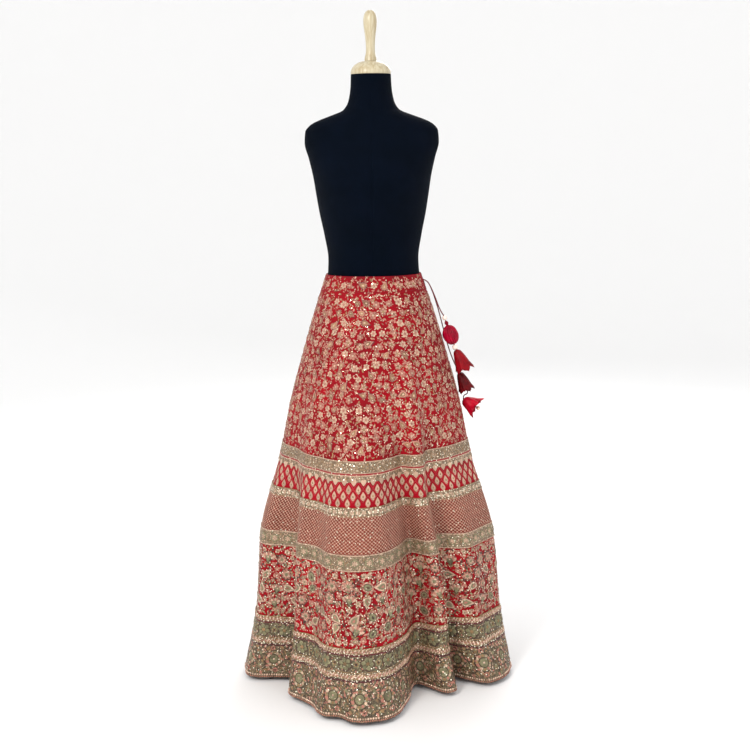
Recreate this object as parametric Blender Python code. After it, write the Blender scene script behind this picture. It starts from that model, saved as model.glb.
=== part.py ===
"""A lehenga skirt on a limbless dress form: ten flared panels sewn to a waistband, with gold bands and a deep
hem border laid on them, and two drawstring ends with fabric tassels at the wearer's left side.

Metres, +Z up. The wearer faces -Y, the wearer's left is +X, and the origin is on the floor under the pole.
"""

import math

import bpy
from mathutils import Vector

# The skirt's levels, from the floor up
WAIST_Z = 1.100
PANEL_TOP_Z = 1.058
THIGH_Z = 0.620
KNEE_Z = 0.400
BORDER_Z = 0.168
HEM_Z = 0.012

# Walls, and the gap between pieces that are sewn or laid together
PANEL_WALL = 0.0018
BAND_WALL = 0.0014
CASING_WALL = 0.0030
CASING_PROUD = 0.0006
GAP = 0.0003

# The waistband is open for this far, each way from the left side seam, where the drawstring comes out
SLIT_HALF = 0.006

# Height, half width, half depth in front and behind, and the share of the thigh's folds that the cloth has
SECTIONS = [
    (WAIST_Z, 0.1245, 0.0965, 0.0965, 0.00),
    (1.000, 0.158, 0.140, 0.132, 0.03),
    (0.909, 0.185, 0.180, 0.168, 0.14),
    (0.760, 0.225, 0.238, 0.218, 0.50),
    (THIGH_Z, 0.252, 0.276, 0.248, 1.00),
]

# Each fold's crown or valley, as degrees round from +X and a radius, at the thigh, the border and the hem.
# A broad lobe has a line on each side of its crown. They run round the skirt from the middle of the back.
FOLDS = [
    ("back_valley",          (-254.0, 0.236), (-262.0, 0.226), (-263.0, 0.214)),
    ("back_crown_a",         (-241.0, 0.262), (-251.0, 0.312), (-252.0, 0.340)),
    ("back_crown_b",         (-229.0, 0.260), (-237.0, 0.322), (-238.0, 0.356)),
    ("back_left_valley",     (-214.0, 0.232), (-221.0, 0.226), (-222.0, 0.216)),
    ("rear_crown_a",         (-205.0, 0.250), (-213.0, 0.304), (-214.0, 0.330)),
    ("rear_crown_b",         (-198.0, 0.254), (-204.0, 0.318), (-205.0, 0.344)),
    ("rear_valley",          (-189.0, 0.240), (-193.5, 0.258), (-195.0, 0.252)),
    ("side_crown_a",         (-180.0, 0.256), (-184.0, 0.332), (-185.0, 0.362)),
    ("side_crown_b",         (-165.0, 0.256), (-169.0, 0.330), (-169.0, 0.362)),
    ("side_front_valley",    (-149.0, 0.240), (-153.0, 0.228), (-154.0, 0.218)),
    ("front_bulge",          (-134.0, 0.262), (-140.0, 0.288), (-142.0, 0.303)),
    ("front_ripple",         (-121.0, 0.272), (-126.0, 0.280), (-123.0, 0.320)),
    ("front_shoulder",       (-112.0, 0.290), (-114.0, 0.322), (-113.0, 0.361)),
    ("front_dent",           (-106.0, 0.294), (-107.0, 0.329), (-106.5, 0.355)),
    ("front_crown",          (-100.0, 0.295), (-99.0, 0.330), (-100.0, 0.379)),
    ("front_crown_edge",     (-89.0, 0.275), (-88.0, 0.303), (-86.0, 0.356)),
    ("front_wall",           (-81.0, 0.243), (-74.0, 0.238), (-74.0, 0.262)),
    ("front_valley",         (-73.0, 0.219), (-54.0, 0.172), (-55.0, 0.172)),
    ("middle_crown_a",       (-66.5, 0.238), (-46.5, 0.232), (-48.5, 0.272)),
    ("middle_crown_b",       (-61.0, 0.241), (-40.5, 0.237), (-43.0, 0.276)),
    ("left_front_valley",    (-52.0, 0.208), (-30.0, 0.205), (-25.0, 0.200)),
    ("left_crown_edge",      (-38.0, 0.220), (-22.5, 0.285), (-26.0, 0.322)),
    ("left_crown",           (-22.0, 0.236), (-12.0, 0.306), (-18.0, 0.352)),
    ("left_side",            (-7.0, 0.254), (-1.0, 0.336), (-2.0, 0.361)),
    ("left_rear_valley",     (9.0, 0.238), (12.0, 0.270), (11.0, 0.272)),
    ("left_rear_crown_a",    (21.0, 0.250), (20.5, 0.316), (20.0, 0.346)),
    ("left_rear_crown_b",    (29.0, 0.248), (28.5, 0.312), (28.0, 0.342)),
    ("left_back_valley",     (42.0, 0.232), (38.0, 0.226), (37.0, 0.216)),
    ("back_wide_crown_a",    (53.0, 0.254), (48.0, 0.316), (47.0, 0.350)),
    ("back_wide_crown_b",    (62.0, 0.256), (57.0, 0.322), (57.0, 0.356)),
    ("back_right_valley",    (74.0, 0.234), (68.5, 0.240), (68.0, 0.228)),
    ("back_seam_crown_a",    (85.0, 0.256), (79.0, 0.314), (78.0, 0.348)),
    ("back_seam_crown_b",    (95.0, 0.256), (88.0, 0.318), (87.0, 0.350)),
]
SIDE_SEAM_FOLD = "left_side"

# The share of the way from the thigh's radius and angle to the border's that the cloth has come at the knee
KNEE_RADIUS_SHARE = 0.74
KNEE_ANGLE_SHARE = 0.55

# The levels where the cloth's facets bend, and the bands that run between two of them
PANEL_LEVELS = [
    PANEL_TOP_Z, 0.985, 0.900, 0.785, 0.658, 0.608, 0.5446, 0.5219, 0.4263, 0.3853, 0.280, 0.185, 0.103,
    HEM_Z,
]
BANDS = [
    ("zari_band_upper", 0.658, 0.608),
    ("zari_band_middle", 0.5446, 0.5219),
    ("zari_band_lower", 0.4263, 0.3853),
    ("hem_border", 0.185, HEM_Z),
]
CASING_LEVELS = [WAIST_Z, 1.079, PANEL_TOP_Z + GAP]
PANEL_COUNT = 10
FACET_WIDTH = 0.039

# The dress form: height, half width, half depth in front and behind
TORSO_SECTIONS = [
    (1.6115, 0.0515, 0.0515, 0.0515),
    (1.580, 0.053, 0.052, 0.052),
    (1.545, 0.059, 0.054, 0.056),
    (1.522, 0.073, 0.057, 0.062),
    (1.509, 0.104, 0.061, 0.069),
    (1.498, 0.134, 0.065, 0.075),
    (1.486, 0.158, 0.070, 0.081),
    (1.468, 0.172, 0.078, 0.088),
    (1.440, 0.174, 0.090, 0.097),
    (1.400, 0.164, 0.108, 0.104),
    (1.350, 0.153, 0.127, 0.106),
    (1.310, 0.147, 0.130, 0.104),
    (1.260, 0.139, 0.118, 0.100),
    (1.200, 0.127, 0.100, 0.094),
    (1.140, 0.1185, 0.090, 0.089),
    (WAIST_Z, 0.1205, 0.0885, 0.0915),
    (1.040, 0.135, 0.096, 0.103),
    (0.980, 0.154, 0.106, 0.114),
    (0.910, 0.167, 0.114, 0.121),
    (0.860, 0.163, 0.113, 0.117),
    (0.825, 0.146, 0.102, 0.104),
    (0.808, 0.122, 0.086, 0.088),
    (0.800, 0.088, 0.062, 0.064),
]
TORSO_SIDES = 40
TORSO_BOTTOM_Z = TORSO_SECTIONS[-1][0]
NECK_Z = TORSO_SECTIONS[0][0]

# Turned pieces, each as radius and height down its outer side
CAP_TOP_Z = 1.645
CAP_PROFILE = [
    (0.0, CAP_TOP_Z), (0.017, CAP_TOP_Z), (0.028, 1.6425), (0.040, 1.6365), (0.048, 1.628),
    (0.0515, 1.620), (0.0520, 1.615), (0.0512, NECK_Z + GAP), (0.0, NECK_Z + GAP),
]
FINIAL_TOP_Z = 1.772
FINIAL_PROFILE = [
    (0.0, FINIAL_TOP_Z), (0.007, 1.7705), (0.0128, 1.765), (0.0165, 1.755), (0.0175, 1.743),
    (0.0164, 1.728), (0.0140, 1.711), (0.0122, 1.692), (0.0118, 1.673), (0.0128, 1.662),
    (0.0150, 1.654), (0.0160, CAP_TOP_Z + GAP), (0.0, CAP_TOP_Z + GAP),
]
BASE_RADIUS = 0.150
BASE_TOP_Z = 0.018
BASE_PROFILE = [
    (0.0, BASE_TOP_Z), (0.040, BASE_TOP_Z), (0.120, 0.0145), (0.143, 0.0115), (BASE_RADIUS, 0.0070),
    (BASE_RADIUS, 0.0020), (0.148, 0.0), (0.0, 0.0),
]
POLE_RADIUS = 0.016
FLANGE_RADIUS = 0.045
POLE_PROFILE = [
    (0.0, TORSO_BOTTOM_Z - GAP), (FLANGE_RADIUS, TORSO_BOTTOM_Z - GAP), (FLANGE_RADIUS, 0.794),
    (POLE_RADIUS + 0.003, 0.788), (POLE_RADIUS, 0.782), (POLE_RADIUS, BASE_TOP_Z + GAP),
    (0.0, BASE_TOP_Z + GAP),
]

# The drawstring's two free ends. Each route runs from the waistband's slit to the first piece on it.
CORD_DIAMETER = 0.003
CORD_STEP = 0.006
FRONT_CORD_ROUTE = [
    (0.1270, -0.0187, 1.0845), (0.1340, -0.0192, 1.0825), (0.1430, -0.0196, 1.075),
    (0.1530, -0.0200, 1.056), (0.1620, -0.0204, 1.034), (0.1700, -0.0205, 1.0125),
    (0.1770, -0.0203, 0.9975), (0.1830, -0.0200, 0.9880),
]
REAR_CORD_ROUTE = [
    (0.1270, -0.0127, 1.0845), (0.1340, -0.0120, 1.0825), (0.1435, -0.0080, 1.074),
    (0.1540, 0.0020, 1.052), (0.1630, 0.0120, 1.026), (0.1715, 0.0185, 0.998),
    (0.1800, 0.0213, 0.965), (0.1900, 0.0200, 0.925), (0.2010, 0.0140, 0.887),
    (0.2120, 0.0050, 0.858), (0.2200, -0.0015, 0.842), (0.2253, -0.0040, 0.8325),
]
TAIL_CORD_ROUTE = [
    (0.2470, -0.0040, 0.7757), (0.2460, -0.0043, 0.7740), (0.2425, -0.0050, 0.7722),
    (0.2380, -0.0057, 0.7697), (0.2352, -0.0060, 0.7655), (0.2342, -0.0060, 0.7600),
]

# Pieces on the drawstring: radius and distance along the piece from its upper end
PEARL_RADIUS = 0.0065
LARGE_PEARL_RADIUS = 0.0075
POMPOM_PROFILE = [
    (0.0, 0.0), (0.0032, 0.0005), (0.0045, 0.006), (0.0085, 0.0150), (0.0150, 0.0205), (0.0200, 0.0300),
    (0.0215, 0.0400), (0.0200, 0.0500), (0.0155, 0.0585), (0.0085, 0.0645), (0.0030, 0.0665), (0.0, 0.0668),
]
UPPER_BELL_PROFILE = [
    (0.0, 0.0), (0.0040, 0.0008), (0.0075, 0.0070), (0.0105, 0.0180), (0.0140, 0.0310), (0.0190, 0.0430),
    (0.0235, 0.0512), (0.0220, 0.0557), (0.0125, 0.0615), (0.0, 0.0640),
]
LOWER_BELL_PROFILE = [
    (0.0, 0.0), (0.0038, 0.0008), (0.0072, 0.0070), (0.0102, 0.0170), (0.0135, 0.0290), (0.0175, 0.0400),
    (0.0205, 0.0487), (0.0175, 0.0530), (0.0075, 0.0571), (0.0, 0.0580),
]
FLOWER_PROFILE = [
    (0.0, 0.0), (0.0034, 0.0006), (0.0062, 0.0060), (0.0100, 0.0150), (0.0160, 0.0270), (0.0245, 0.0400),
    (0.0285, 0.0495), (0.0262, 0.0520), (0.0140, 0.0455), (0.0060, 0.0410), (0.0, 0.0400),
]
# The upper end of each piece and its lean outwards from hanging straight down, in degrees
FRONT_PEARL = (0.1857, -0.0200, 0.9812)
POMPOM_TOP = ((0.1883, -0.0202, 0.9738), 19.0)
LARGE_PEARL = (0.2128, -0.0206, 0.9030)
UPPER_BELL_TOP = ((0.2158, -0.0208, 0.8957), 24.0)
LOWER_BELL_TOP = ((0.2257, -0.0040, 0.8315), 22.0)
FLOWER_TOP = ((0.2350, -0.0060, 0.7580), 60.0)
FLOWER_BEAD_OFFSET = 0.0464
FLOWER_BEAD_RADIUS = 0.0055

COLOURS = {
    "red_zari_silk": ((0.42, 0.045, 0.055), 0.62, 0.0),
    "gold_zari": ((0.46, 0.33, 0.19), 0.45, 0.35),
    "maroon_silk": ((0.27, 0.008, 0.014), 0.55, 0.0),
    "pearl": ((0.86, 0.78, 0.68), 0.22, 0.0),
    "gilt": ((0.72, 0.52, 0.24), 0.30, 0.9),
    "navy_cotton": ((0.006, 0.012, 0.022), 0.85, 0.0),
    "pale_wood": ((0.76, 0.66, 0.48), 0.50, 0.0),
    "dark_steel": ((0.05, 0.05, 0.055), 0.40, 0.8),
}


def material(name):
    """The named material, made once."""
    if name in bpy.data.materials:
        return bpy.data.materials[name]
    colour, roughness, metallic = COLOURS[name]
    made = bpy.data.materials.new(name)
    made.use_nodes = True
    shader = made.node_tree.nodes["Principled BSDF"]
    shader.inputs["Base Color"].default_value = (*colour, 1.0)
    shader.inputs["Roughness"].default_value = roughness
    shader.inputs["Metallic"].default_value = metallic
    return made


def new_object(name, data, finish, smooth_angle=None):
    """An object of this data in the scene, with a material."""
    obj = bpy.data.objects.new(name, data)
    bpy.context.collection.objects.link(obj)
    data.materials.append(material(finish))
    if smooth_angle is not None:
        data.shade_smooth()
        data.set_sharp_from_angle(angle=math.radians(smooth_angle))
    return obj


def smooth_through(stations, values, at):
    """The value at a station of a curve through rising stations that never overshoots between two of them."""
    steps = [b - a for a, b in zip(stations, stations[1:])]
    slopes = [(b - a) / h for a, b, h in zip(values, values[1:], steps)]
    tangents = [slopes[0]]
    for before, after, short, long in zip(slopes, slopes[1:], steps, steps[1:]):
        if before * after <= 0:
            tangents.append(0.0)
            continue
        weight_before = 2 * long + short
        weight_after = long + 2 * short
        tangents.append((weight_before + weight_after) / (weight_before / before + weight_after / after))
    tangents.append(slopes[-1])
    i = max(0, min(len(steps) - 1, sum(s <= at for s in stations) - 1))
    t = (at - stations[i]) / steps[i]
    return (
        (1 + 2 * t) * (1 - t) ** 2 * values[i]
        + t * (1 - t) ** 2 * steps[i] * tangents[i]
        + t * t * (3 - 2 * t) * values[i + 1]
        + t * t * (t - 1) * steps[i] * tangents[i + 1]
    )


def oval_radius(degrees, half_width, front, back):
    """The radius, in this direction, of an oval that is deeper in front or behind."""
    angle = math.radians(degrees)
    depth = front if math.sin(angle) < 0 else back
    return half_width * depth / math.hypot(depth * math.cos(angle), half_width * math.sin(angle))


def fold_points(z):
    """Where each fold line crosses this height."""
    points = []
    for _, thigh, border, hem in FOLDS:
        swell = thigh[1] - oval_radius(thigh[0], *SECTIONS[-1][1:4])
        heights = [section[0] for section in SECTIONS] + [KNEE_Z, BORDER_Z, HEM_Z]
        radii = [oval_radius(thigh[0], *section[1:4]) + section[4] * swell for section in SECTIONS]
        radii += [thigh[1] + KNEE_RADIUS_SHARE * (border[1] - thigh[1]), border[1], hem[1]]
        angles = [thigh[0]] * len(SECTIONS)
        angles += [thigh[0] + KNEE_ANGLE_SHARE * (border[0] - thigh[0]), border[0], hem[0]]
        radius = smooth_through(heights[::-1], radii[::-1], z)
        angle = math.radians(smooth_through(heights[::-1], angles[::-1], z))
        points.append(Vector((radius * math.cos(angle), radius * math.sin(angle), z)))
    return points


def blend(first, second, start_time, end_time, time):
    return first.lerp(second, (time - start_time) / (end_time - start_time))


def round_curve(before, start, end, after, t):
    """The point at t, from 0 to 1, between start and end, on a round curve through all four points."""
    time_1 = math.sqrt((start - before).length)
    time_2 = time_1 + math.sqrt((end - start).length)
    time_3 = time_2 + math.sqrt((after - end).length)
    time = time_1 + (time_2 - time_1) * t
    a = blend(before, start, 0.0, time_1, time)
    b = blend(start, end, time_1, time_2, time)
    c = blend(end, after, time_2, time_3, time)
    ab = blend(a, b, 0.0, time_2, time)
    bc = blend(b, c, time_1, time_3, time)
    return blend(ab, bc, time_1, time_2, time)


def fold_spans(z, fineness=12):
    """For each fold line at this height, the fine points of the curve from it to the next."""
    knots = fold_points(z)
    count = len(knots)
    return [
        [
            round_curve(
                knots[i - 1], knots[i], knots[(i + 1) % count], knots[(i + 2) % count], step / fineness
            )
            for step in range(fineness + 1)
        ]
        for i in range(count)
    ]


def length_of(points):
    return sum((b - a).length for a, b in zip(points, points[1:]))


def evenly(points, parts):
    """The points that part this curve into equal lengths, without the last."""
    total = length_of(points)
    found = [points[0]]
    walked = 0.0
    for a, b in zip(points, points[1:]):
        step = (b - a).length
        while len(found) < parts and walked + step >= total * len(found) / parts:
            found.append(a.lerp(b, (total * len(found) / parts - walked) / step))
        walked += step
    return found


def facets_per_fold():
    """How many facets run from each fold line to the next, from their distance at the hem."""
    return [max(2, round(length_of(span) / FACET_WIDTH)) for span in fold_spans(HEM_Z)]


def ring(z, facets):
    """The cloth's outer points at this height, all the way round, a column for each facet."""
    points = []
    for span, parts in zip(fold_spans(z), facets):
        points += evenly(span, parts)
    return points


def along(points, column, step):
    """The direction round the ring from this column to the next, or back to the one before if step is -1."""
    return (points[(column + step) % len(points)] - points[column]).normalized()


def outward(rings, row, column):
    """The cloth's outward direction at this point."""
    points = rings[row]
    around = points[(column + 1) % len(points)] - points[column - 1]
    above = rings[max(row - 1, 0)][column]
    below = rings[min(row + 1, len(rings) - 1)][column]
    return around.cross(above - below).normalized()


def cloth_piece(name, rings, rows, columns, inner, outer, finish, end_gaps=(GAP / 2, GAP / 2)):
    """A closed wall of cloth over these rows and columns, from inner to outer metres off the cloth's face.

    Each side edge stands back by its end gap, along the cloth.
    """
    sides = []
    for offset in (outer, inner):
        grid = []
        for row in rows:
            line = []
            for place, column in enumerate(columns):
                column %= len(rings[row])
                point = rings[row][column] + outward(rings, row, column) * offset
                if place == 0:
                    point += along(rings[row], column, 1) * end_gaps[0]
                if place == len(columns) - 1:
                    point += along(rings[row], column, -1) * end_gaps[1]
                line.append(point)
            grid.append(line)
        sides.append(grid)
    height, width = len(rows), len(columns)
    vertices = [point for grid in sides for line in grid for point in line]

    def index(side, row, column):
        return (side * height + row) * width + column

    faces = []
    for row in range(height - 1):
        for column in range(width - 1):
            corners = [(row, column), (row + 1, column), (row + 1, column + 1), (row, column + 1)]
            front = [index(0, *corner) for corner in corners]
            back = [index(1, *corner) for corner in corners]
            faces += [(front[0], front[1], front[2]), (front[0], front[2], front[3])]
            faces += [(back[2], back[1], back[0]), (back[3], back[2], back[0])]
    rim = [(0, column) for column in range(width)]
    rim += [(row, width - 1) for row in range(1, height)]
    rim += [(height - 1, column) for column in range(width - 2, -1, -1)]
    rim += [(row, 0) for row in range(height - 2, 0, -1)]
    for here, there in zip(rim, rim[1:] + rim[:1]):
        faces.append((index(0, *here), index(0, *there), index(1, *there), index(1, *here)))
    mesh = bpy.data.meshes.new(name)
    mesh.from_pydata(vertices, [], faces)
    return new_object(name, mesh, finish, smooth_angle=50)


def oval_form(name, sections, sides, finish):
    """A closed form through oval sections listed from the top down."""
    vertices = []
    for z, half_width, front, back in sections:
        for side in range(sides):
            angle = math.tau * side / sides
            depth = front if math.sin(angle) < 0 else back
            vertices.append((half_width * math.cos(angle), depth * math.sin(angle), z))
    faces = [tuple(range(sides))]
    for row in range(len(sections) - 1):
        for side in range(sides):
            after = (side + 1) % sides
            upper, lower = row * sides, (row + 1) * sides
            faces.append((upper + side, lower + side, lower + after, upper + after))
    faces.append(tuple(reversed(range(len(vertices) - sides, len(vertices)))))
    mesh = bpy.data.meshes.new(name)
    mesh.from_pydata(vertices, [], faces)
    return new_object(name, mesh, finish, smooth_angle=50)


def turned(name, profile, finish, sides=32, place=(0.0, 0.0, 0.0), lean=0.0, hanging=False):
    """A turned piece from its outer profile. A hanging one runs down from its upper end, and leans to +X."""
    sign = -1 if hanging else 1
    mesh = bpy.data.meshes.new(name)
    points = [(radius, 0.0, sign * height) for radius, height in profile]
    mesh.from_pydata(points, [(i, i + 1) for i in range(len(points) - 1)], [])
    obj = new_object(name, mesh, finish)
    screw = obj.modifiers.new("turn", "SCREW")
    screw.steps = screw.render_steps = sides
    screw.use_merge_vertices = True
    screw.merge_threshold = 0.0001
    obj.location = place
    obj.rotation_euler = (0.0, -math.radians(lean), 0.0)
    return obj


def ball_profile(radius, bands=10):
    """A ball's outer profile, from its top down, about its centre."""
    angles = [math.pi * i / bands for i in range(bands + 1)]
    return [(radius * math.sin(angle), radius * math.cos(angle)) for angle in angles]


def cord(name, route, finish):
    """A round cord along a smooth curve through its route."""
    points = [Vector(point) for point in route]
    points = [2 * points[0] - points[1]] + points + [2 * points[-1] - points[-2]]
    fine = [round_curve(*points[i:i + 4], step / 10) for i in range(len(points) - 3) for step in range(10)]
    fine.append(points[-2])
    parts = round(length_of(fine) / CORD_STEP)
    places = evenly(fine, parts) + [fine[-1]]
    curve = bpy.data.curves.new(name, "CURVE")
    curve.dimensions = "3D"
    curve.bevel_depth = CORD_DIAMETER / 2
    curve.bevel_resolution = 2
    curve.use_fill_caps = True
    line = curve.splines.new("POLY")
    line.points.add(len(places) - 1)
    for slot, place in zip(line.points, places):
        slot.co = (*place, 1.0)
    return new_object(name, curve, finish)


def build_skirt():
    """The flared panels, the bands laid on them and the two halves of the waistband."""
    facets = facets_per_fold()
    rings = [ring(z, facets) for z in PANEL_LEVELS]
    count = len(rings[0])
    side_seam = sum(facets[:[fold[0] for fold in FOLDS].index(SIDE_SEAM_FOLD)])
    seams = [side_seam + round(count * i / PANEL_COUNT) for i in range(PANEL_COUNT + 1)]
    all_rows = range(len(PANEL_LEVELS))
    for i, (start, end) in enumerate(zip(seams, seams[1:])):
        columns = range(start, end + 1)
        cloth_piece(f"panel_{i + 1:02d}", rings, all_rows, columns, -PANEL_WALL, 0.0, "red_zari_silk")
    halves = {
        "back": range(side_seam, seams[PANEL_COUNT // 2] + 1),
        "front": range(seams[PANEL_COUNT // 2], side_seam + count + 1),
    }
    for name, top, bottom in BANDS:
        rows = range(PANEL_LEVELS.index(top), PANEL_LEVELS.index(bottom) + 1)
        for half, columns in halves.items():
            cloth_piece(f"{name}_{half}", rings, rows, columns, GAP, GAP + BAND_WALL, "gold_zari")
    casing = [ring(z, facets) for z in CASING_LEVELS]
    slit_gaps = {"back": (SLIT_HALF, GAP / 2), "front": (GAP / 2, SLIT_HALF)}
    for half, columns in halves.items():
        last = columns[-1]
        sparse = sorted(set(list(columns)[::2]) | {last})
        cloth_piece(
            f"waistband_{half}", casing, range(len(casing)), sparse,
            CASING_PROUD - CASING_WALL, CASING_PROUD, "red_zari_silk", slit_gaps[half],
        )


def build_drawstring():
    """The two free ends, with the pearls, fabric pompom, bells and flower on them."""
    cord("cord_front", FRONT_CORD_ROUTE, "maroon_silk")
    cord("cord_rear", REAR_CORD_ROUTE, "maroon_silk")
    cord("cord_tail", TAIL_CORD_ROUTE, "maroon_silk")
    turned("pearl_upper", ball_profile(PEARL_RADIUS), "pearl", 20, FRONT_PEARL)
    turned("pearl_lower", ball_profile(LARGE_PEARL_RADIUS), "pearl", 20, LARGE_PEARL)
    hung = {
        "pompom": (POMPOM_PROFILE, POMPOM_TOP),
        "petal_bell_upper": (UPPER_BELL_PROFILE, UPPER_BELL_TOP),
        "petal_bell_lower": (LOWER_BELL_PROFILE, LOWER_BELL_TOP),
        "petal_flower": (FLOWER_PROFILE, FLOWER_TOP),
    }
    for name, (profile, (place, lean)) in hung.items():
        turned(name, profile, "maroon_silk", 28, place, lean, hanging=True)
    top, lean = FLOWER_TOP
    angle = math.radians(lean)
    bead = Vector(top) + FLOWER_BEAD_OFFSET * Vector((math.sin(angle), 0, -math.cos(angle)))
    turned("flower_bead", ball_profile(FLOWER_BEAD_RADIUS), "gilt", 16, bead)


def build_dress_form():
    """The covered torso, its turned neck cap and finial, and the pole and base that it stands on."""
    oval_form("form_torso", TORSO_SECTIONS, TORSO_SIDES, "navy_cotton")
    turned("form_neck_cap", CAP_PROFILE, "pale_wood", 40)
    turned("form_finial", FINIAL_PROFILE, "pale_wood")
    turned("form_pole", POLE_PROFILE, "dark_steel")
    turned("form_base", BASE_PROFILE, "dark_steel", 56)


for leftover in list(bpy.data.objects):
    bpy.data.objects.remove(leftover)
build_dress_form()
build_skirt()
build_drawstring()
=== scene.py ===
import math

import bpy
import numpy as np
from mathutils import Matrix, Vector


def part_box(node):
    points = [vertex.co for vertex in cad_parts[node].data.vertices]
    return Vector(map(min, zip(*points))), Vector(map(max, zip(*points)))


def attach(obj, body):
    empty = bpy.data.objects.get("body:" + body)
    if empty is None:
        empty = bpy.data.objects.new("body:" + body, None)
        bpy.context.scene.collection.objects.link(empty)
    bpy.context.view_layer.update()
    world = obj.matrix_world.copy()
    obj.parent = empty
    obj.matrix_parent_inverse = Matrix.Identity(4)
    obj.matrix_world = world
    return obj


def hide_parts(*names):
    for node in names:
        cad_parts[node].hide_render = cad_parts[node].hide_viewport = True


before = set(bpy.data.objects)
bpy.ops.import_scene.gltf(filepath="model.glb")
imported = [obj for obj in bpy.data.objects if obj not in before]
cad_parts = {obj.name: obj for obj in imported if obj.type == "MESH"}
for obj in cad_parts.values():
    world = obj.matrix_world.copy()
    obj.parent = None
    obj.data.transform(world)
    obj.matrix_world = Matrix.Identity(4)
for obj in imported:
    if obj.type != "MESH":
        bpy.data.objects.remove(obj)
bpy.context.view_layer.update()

RANDOM = np.random.default_rng(7)


def levels(node):
    """The upper and lower height of one of the frame's solids."""
    low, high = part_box(node)
    return high[2], low[2]


# ---------------------------------------------------------------- the skirt's form, in metres

PANEL_TOP_Z, HEM_Z = levels("panel_01")
WAIST_Z, CASING_LOW_Z = levels("waistband_front")
BAND_NAMES = ("zari_band_upper", "zari_band_middle", "zari_band_lower", "hem_border")
BANDS = {name: levels(name + "_front") for name in BAND_NAMES}
UPPER_BAND, MIDDLE_BAND, LOWER_BAND, BORDER = BANDS.values()

THIGH_Z = 0.620
KNEE_Z = 0.400
BORDER_Z = 0.168
PANEL_WALL = 0.0018
BAND_WALL = 0.0014
CASING_WALL = 0.0030
CASING_PROUD = 0.0006      # how far the waistband's face stands out from the form
GAP = 0.0003
SLIT_HALF = 0.006
FACET_WIDTH = 0.039
PANEL_COUNT = 10

# Height, half width, half depth in front and behind, and the share of the thigh's folds at that height
SECTIONS = [
    (1.100, 0.1245, 0.0965, 0.0965, 0.00),
    (1.000, 0.158, 0.140, 0.132, 0.03),
    (0.909, 0.185, 0.180, 0.168, 0.14),
    (0.760, 0.225, 0.238, 0.218, 0.50),
    (THIGH_Z, 0.252, 0.276, 0.248, 1.00),
]

# Each fold's crown or valley, as degrees round from +X and a radius, at the thigh, the border and the hem
FOLDS = {
    "back_valley":       (-254.0, 0.236, -262.0, 0.226, -263.0, 0.214),
    "back_crown_a":      (-241.0, 0.262, -251.0, 0.312, -252.0, 0.340),
    "back_crown_b":      (-229.0, 0.260, -237.0, 0.322, -238.0, 0.356),
    "back_left_valley":  (-214.0, 0.232, -221.0, 0.226, -222.0, 0.216),
    "rear_crown_a":      (-205.0, 0.250, -213.0, 0.304, -214.0, 0.330),
    "rear_crown_b":      (-198.0, 0.254, -204.0, 0.318, -205.0, 0.344),
    "rear_valley":       (-189.0, 0.240, -193.5, 0.258, -195.0, 0.252),
    "side_crown_a":      (-180.0, 0.256, -184.0, 0.332, -185.0, 0.362),
    "side_crown_b":      (-165.0, 0.256, -169.0, 0.330, -169.0, 0.362),
    "side_front_valley": (-149.0, 0.240, -153.0, 0.228, -154.0, 0.218),
    "front_bulge":       (-134.0, 0.262, -140.0, 0.288, -142.0, 0.303),
    "front_ripple":      (-121.0, 0.272, -126.0, 0.280, -123.0, 0.320),
    "front_shoulder":    (-112.0, 0.290, -114.0, 0.322, -113.0, 0.361),
    "front_dent":        (-106.0, 0.294, -107.0, 0.329, -106.5, 0.355),
    "front_crown":       (-100.0, 0.295, -99.0, 0.330, -100.0, 0.379),
    "front_crown_edge":  (-89.0, 0.275, -88.0, 0.303, -86.0, 0.356),
    "front_wall":        (-81.0, 0.243, -74.0, 0.238, -74.0, 0.262),
    "front_valley":      (-73.0, 0.219, -54.0, 0.172, -55.0, 0.172),
    "middle_crown_a":    (-66.5, 0.238, -46.5, 0.232, -48.5, 0.272),
    "middle_crown_b":    (-61.0, 0.241, -40.5, 0.237, -43.0, 0.276),
    "left_front_valley": (-52.0, 0.208, -30.0, 0.205, -25.0, 0.200),
    "left_crown_edge":   (-38.0, 0.220, -22.5, 0.285, -26.0, 0.322),
    "left_crown":        (-22.0, 0.236, -12.0, 0.306, -18.0, 0.352),
    "left_side":         (-7.0, 0.254, -1.0, 0.336, -2.0, 0.361),
    "left_rear_valley":  (9.0, 0.238, 12.0, 0.270, 11.0, 0.272),
    "left_rear_crown_a": (21.0, 0.250, 20.5, 0.316, 20.0, 0.346),
    "left_rear_crown_b": (29.0, 0.248, 28.5, 0.312, 28.0, 0.342),
    "left_back_valley":  (42.0, 0.232, 38.0, 0.226, 37.0, 0.216),
    "back_wide_crown_a": (53.0, 0.254, 48.0, 0.316, 47.0, 0.350),
    "back_wide_crown_b": (62.0, 0.256, 57.0, 0.322, 57.0, 0.356),
    "back_right_valley": (74.0, 0.234, 68.5, 0.240, 68.0, 0.228),
    "back_seam_crown_a": (85.0, 0.256, 79.0, 0.314, 78.0, 0.348),
    "back_seam_crown_b": (95.0, 0.256, 88.0, 0.318, 87.0, 0.350),
}
KNEE_RADIUS_SHARE = 0.74
KNEE_ANGLE_SHARE = 0.55

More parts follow.
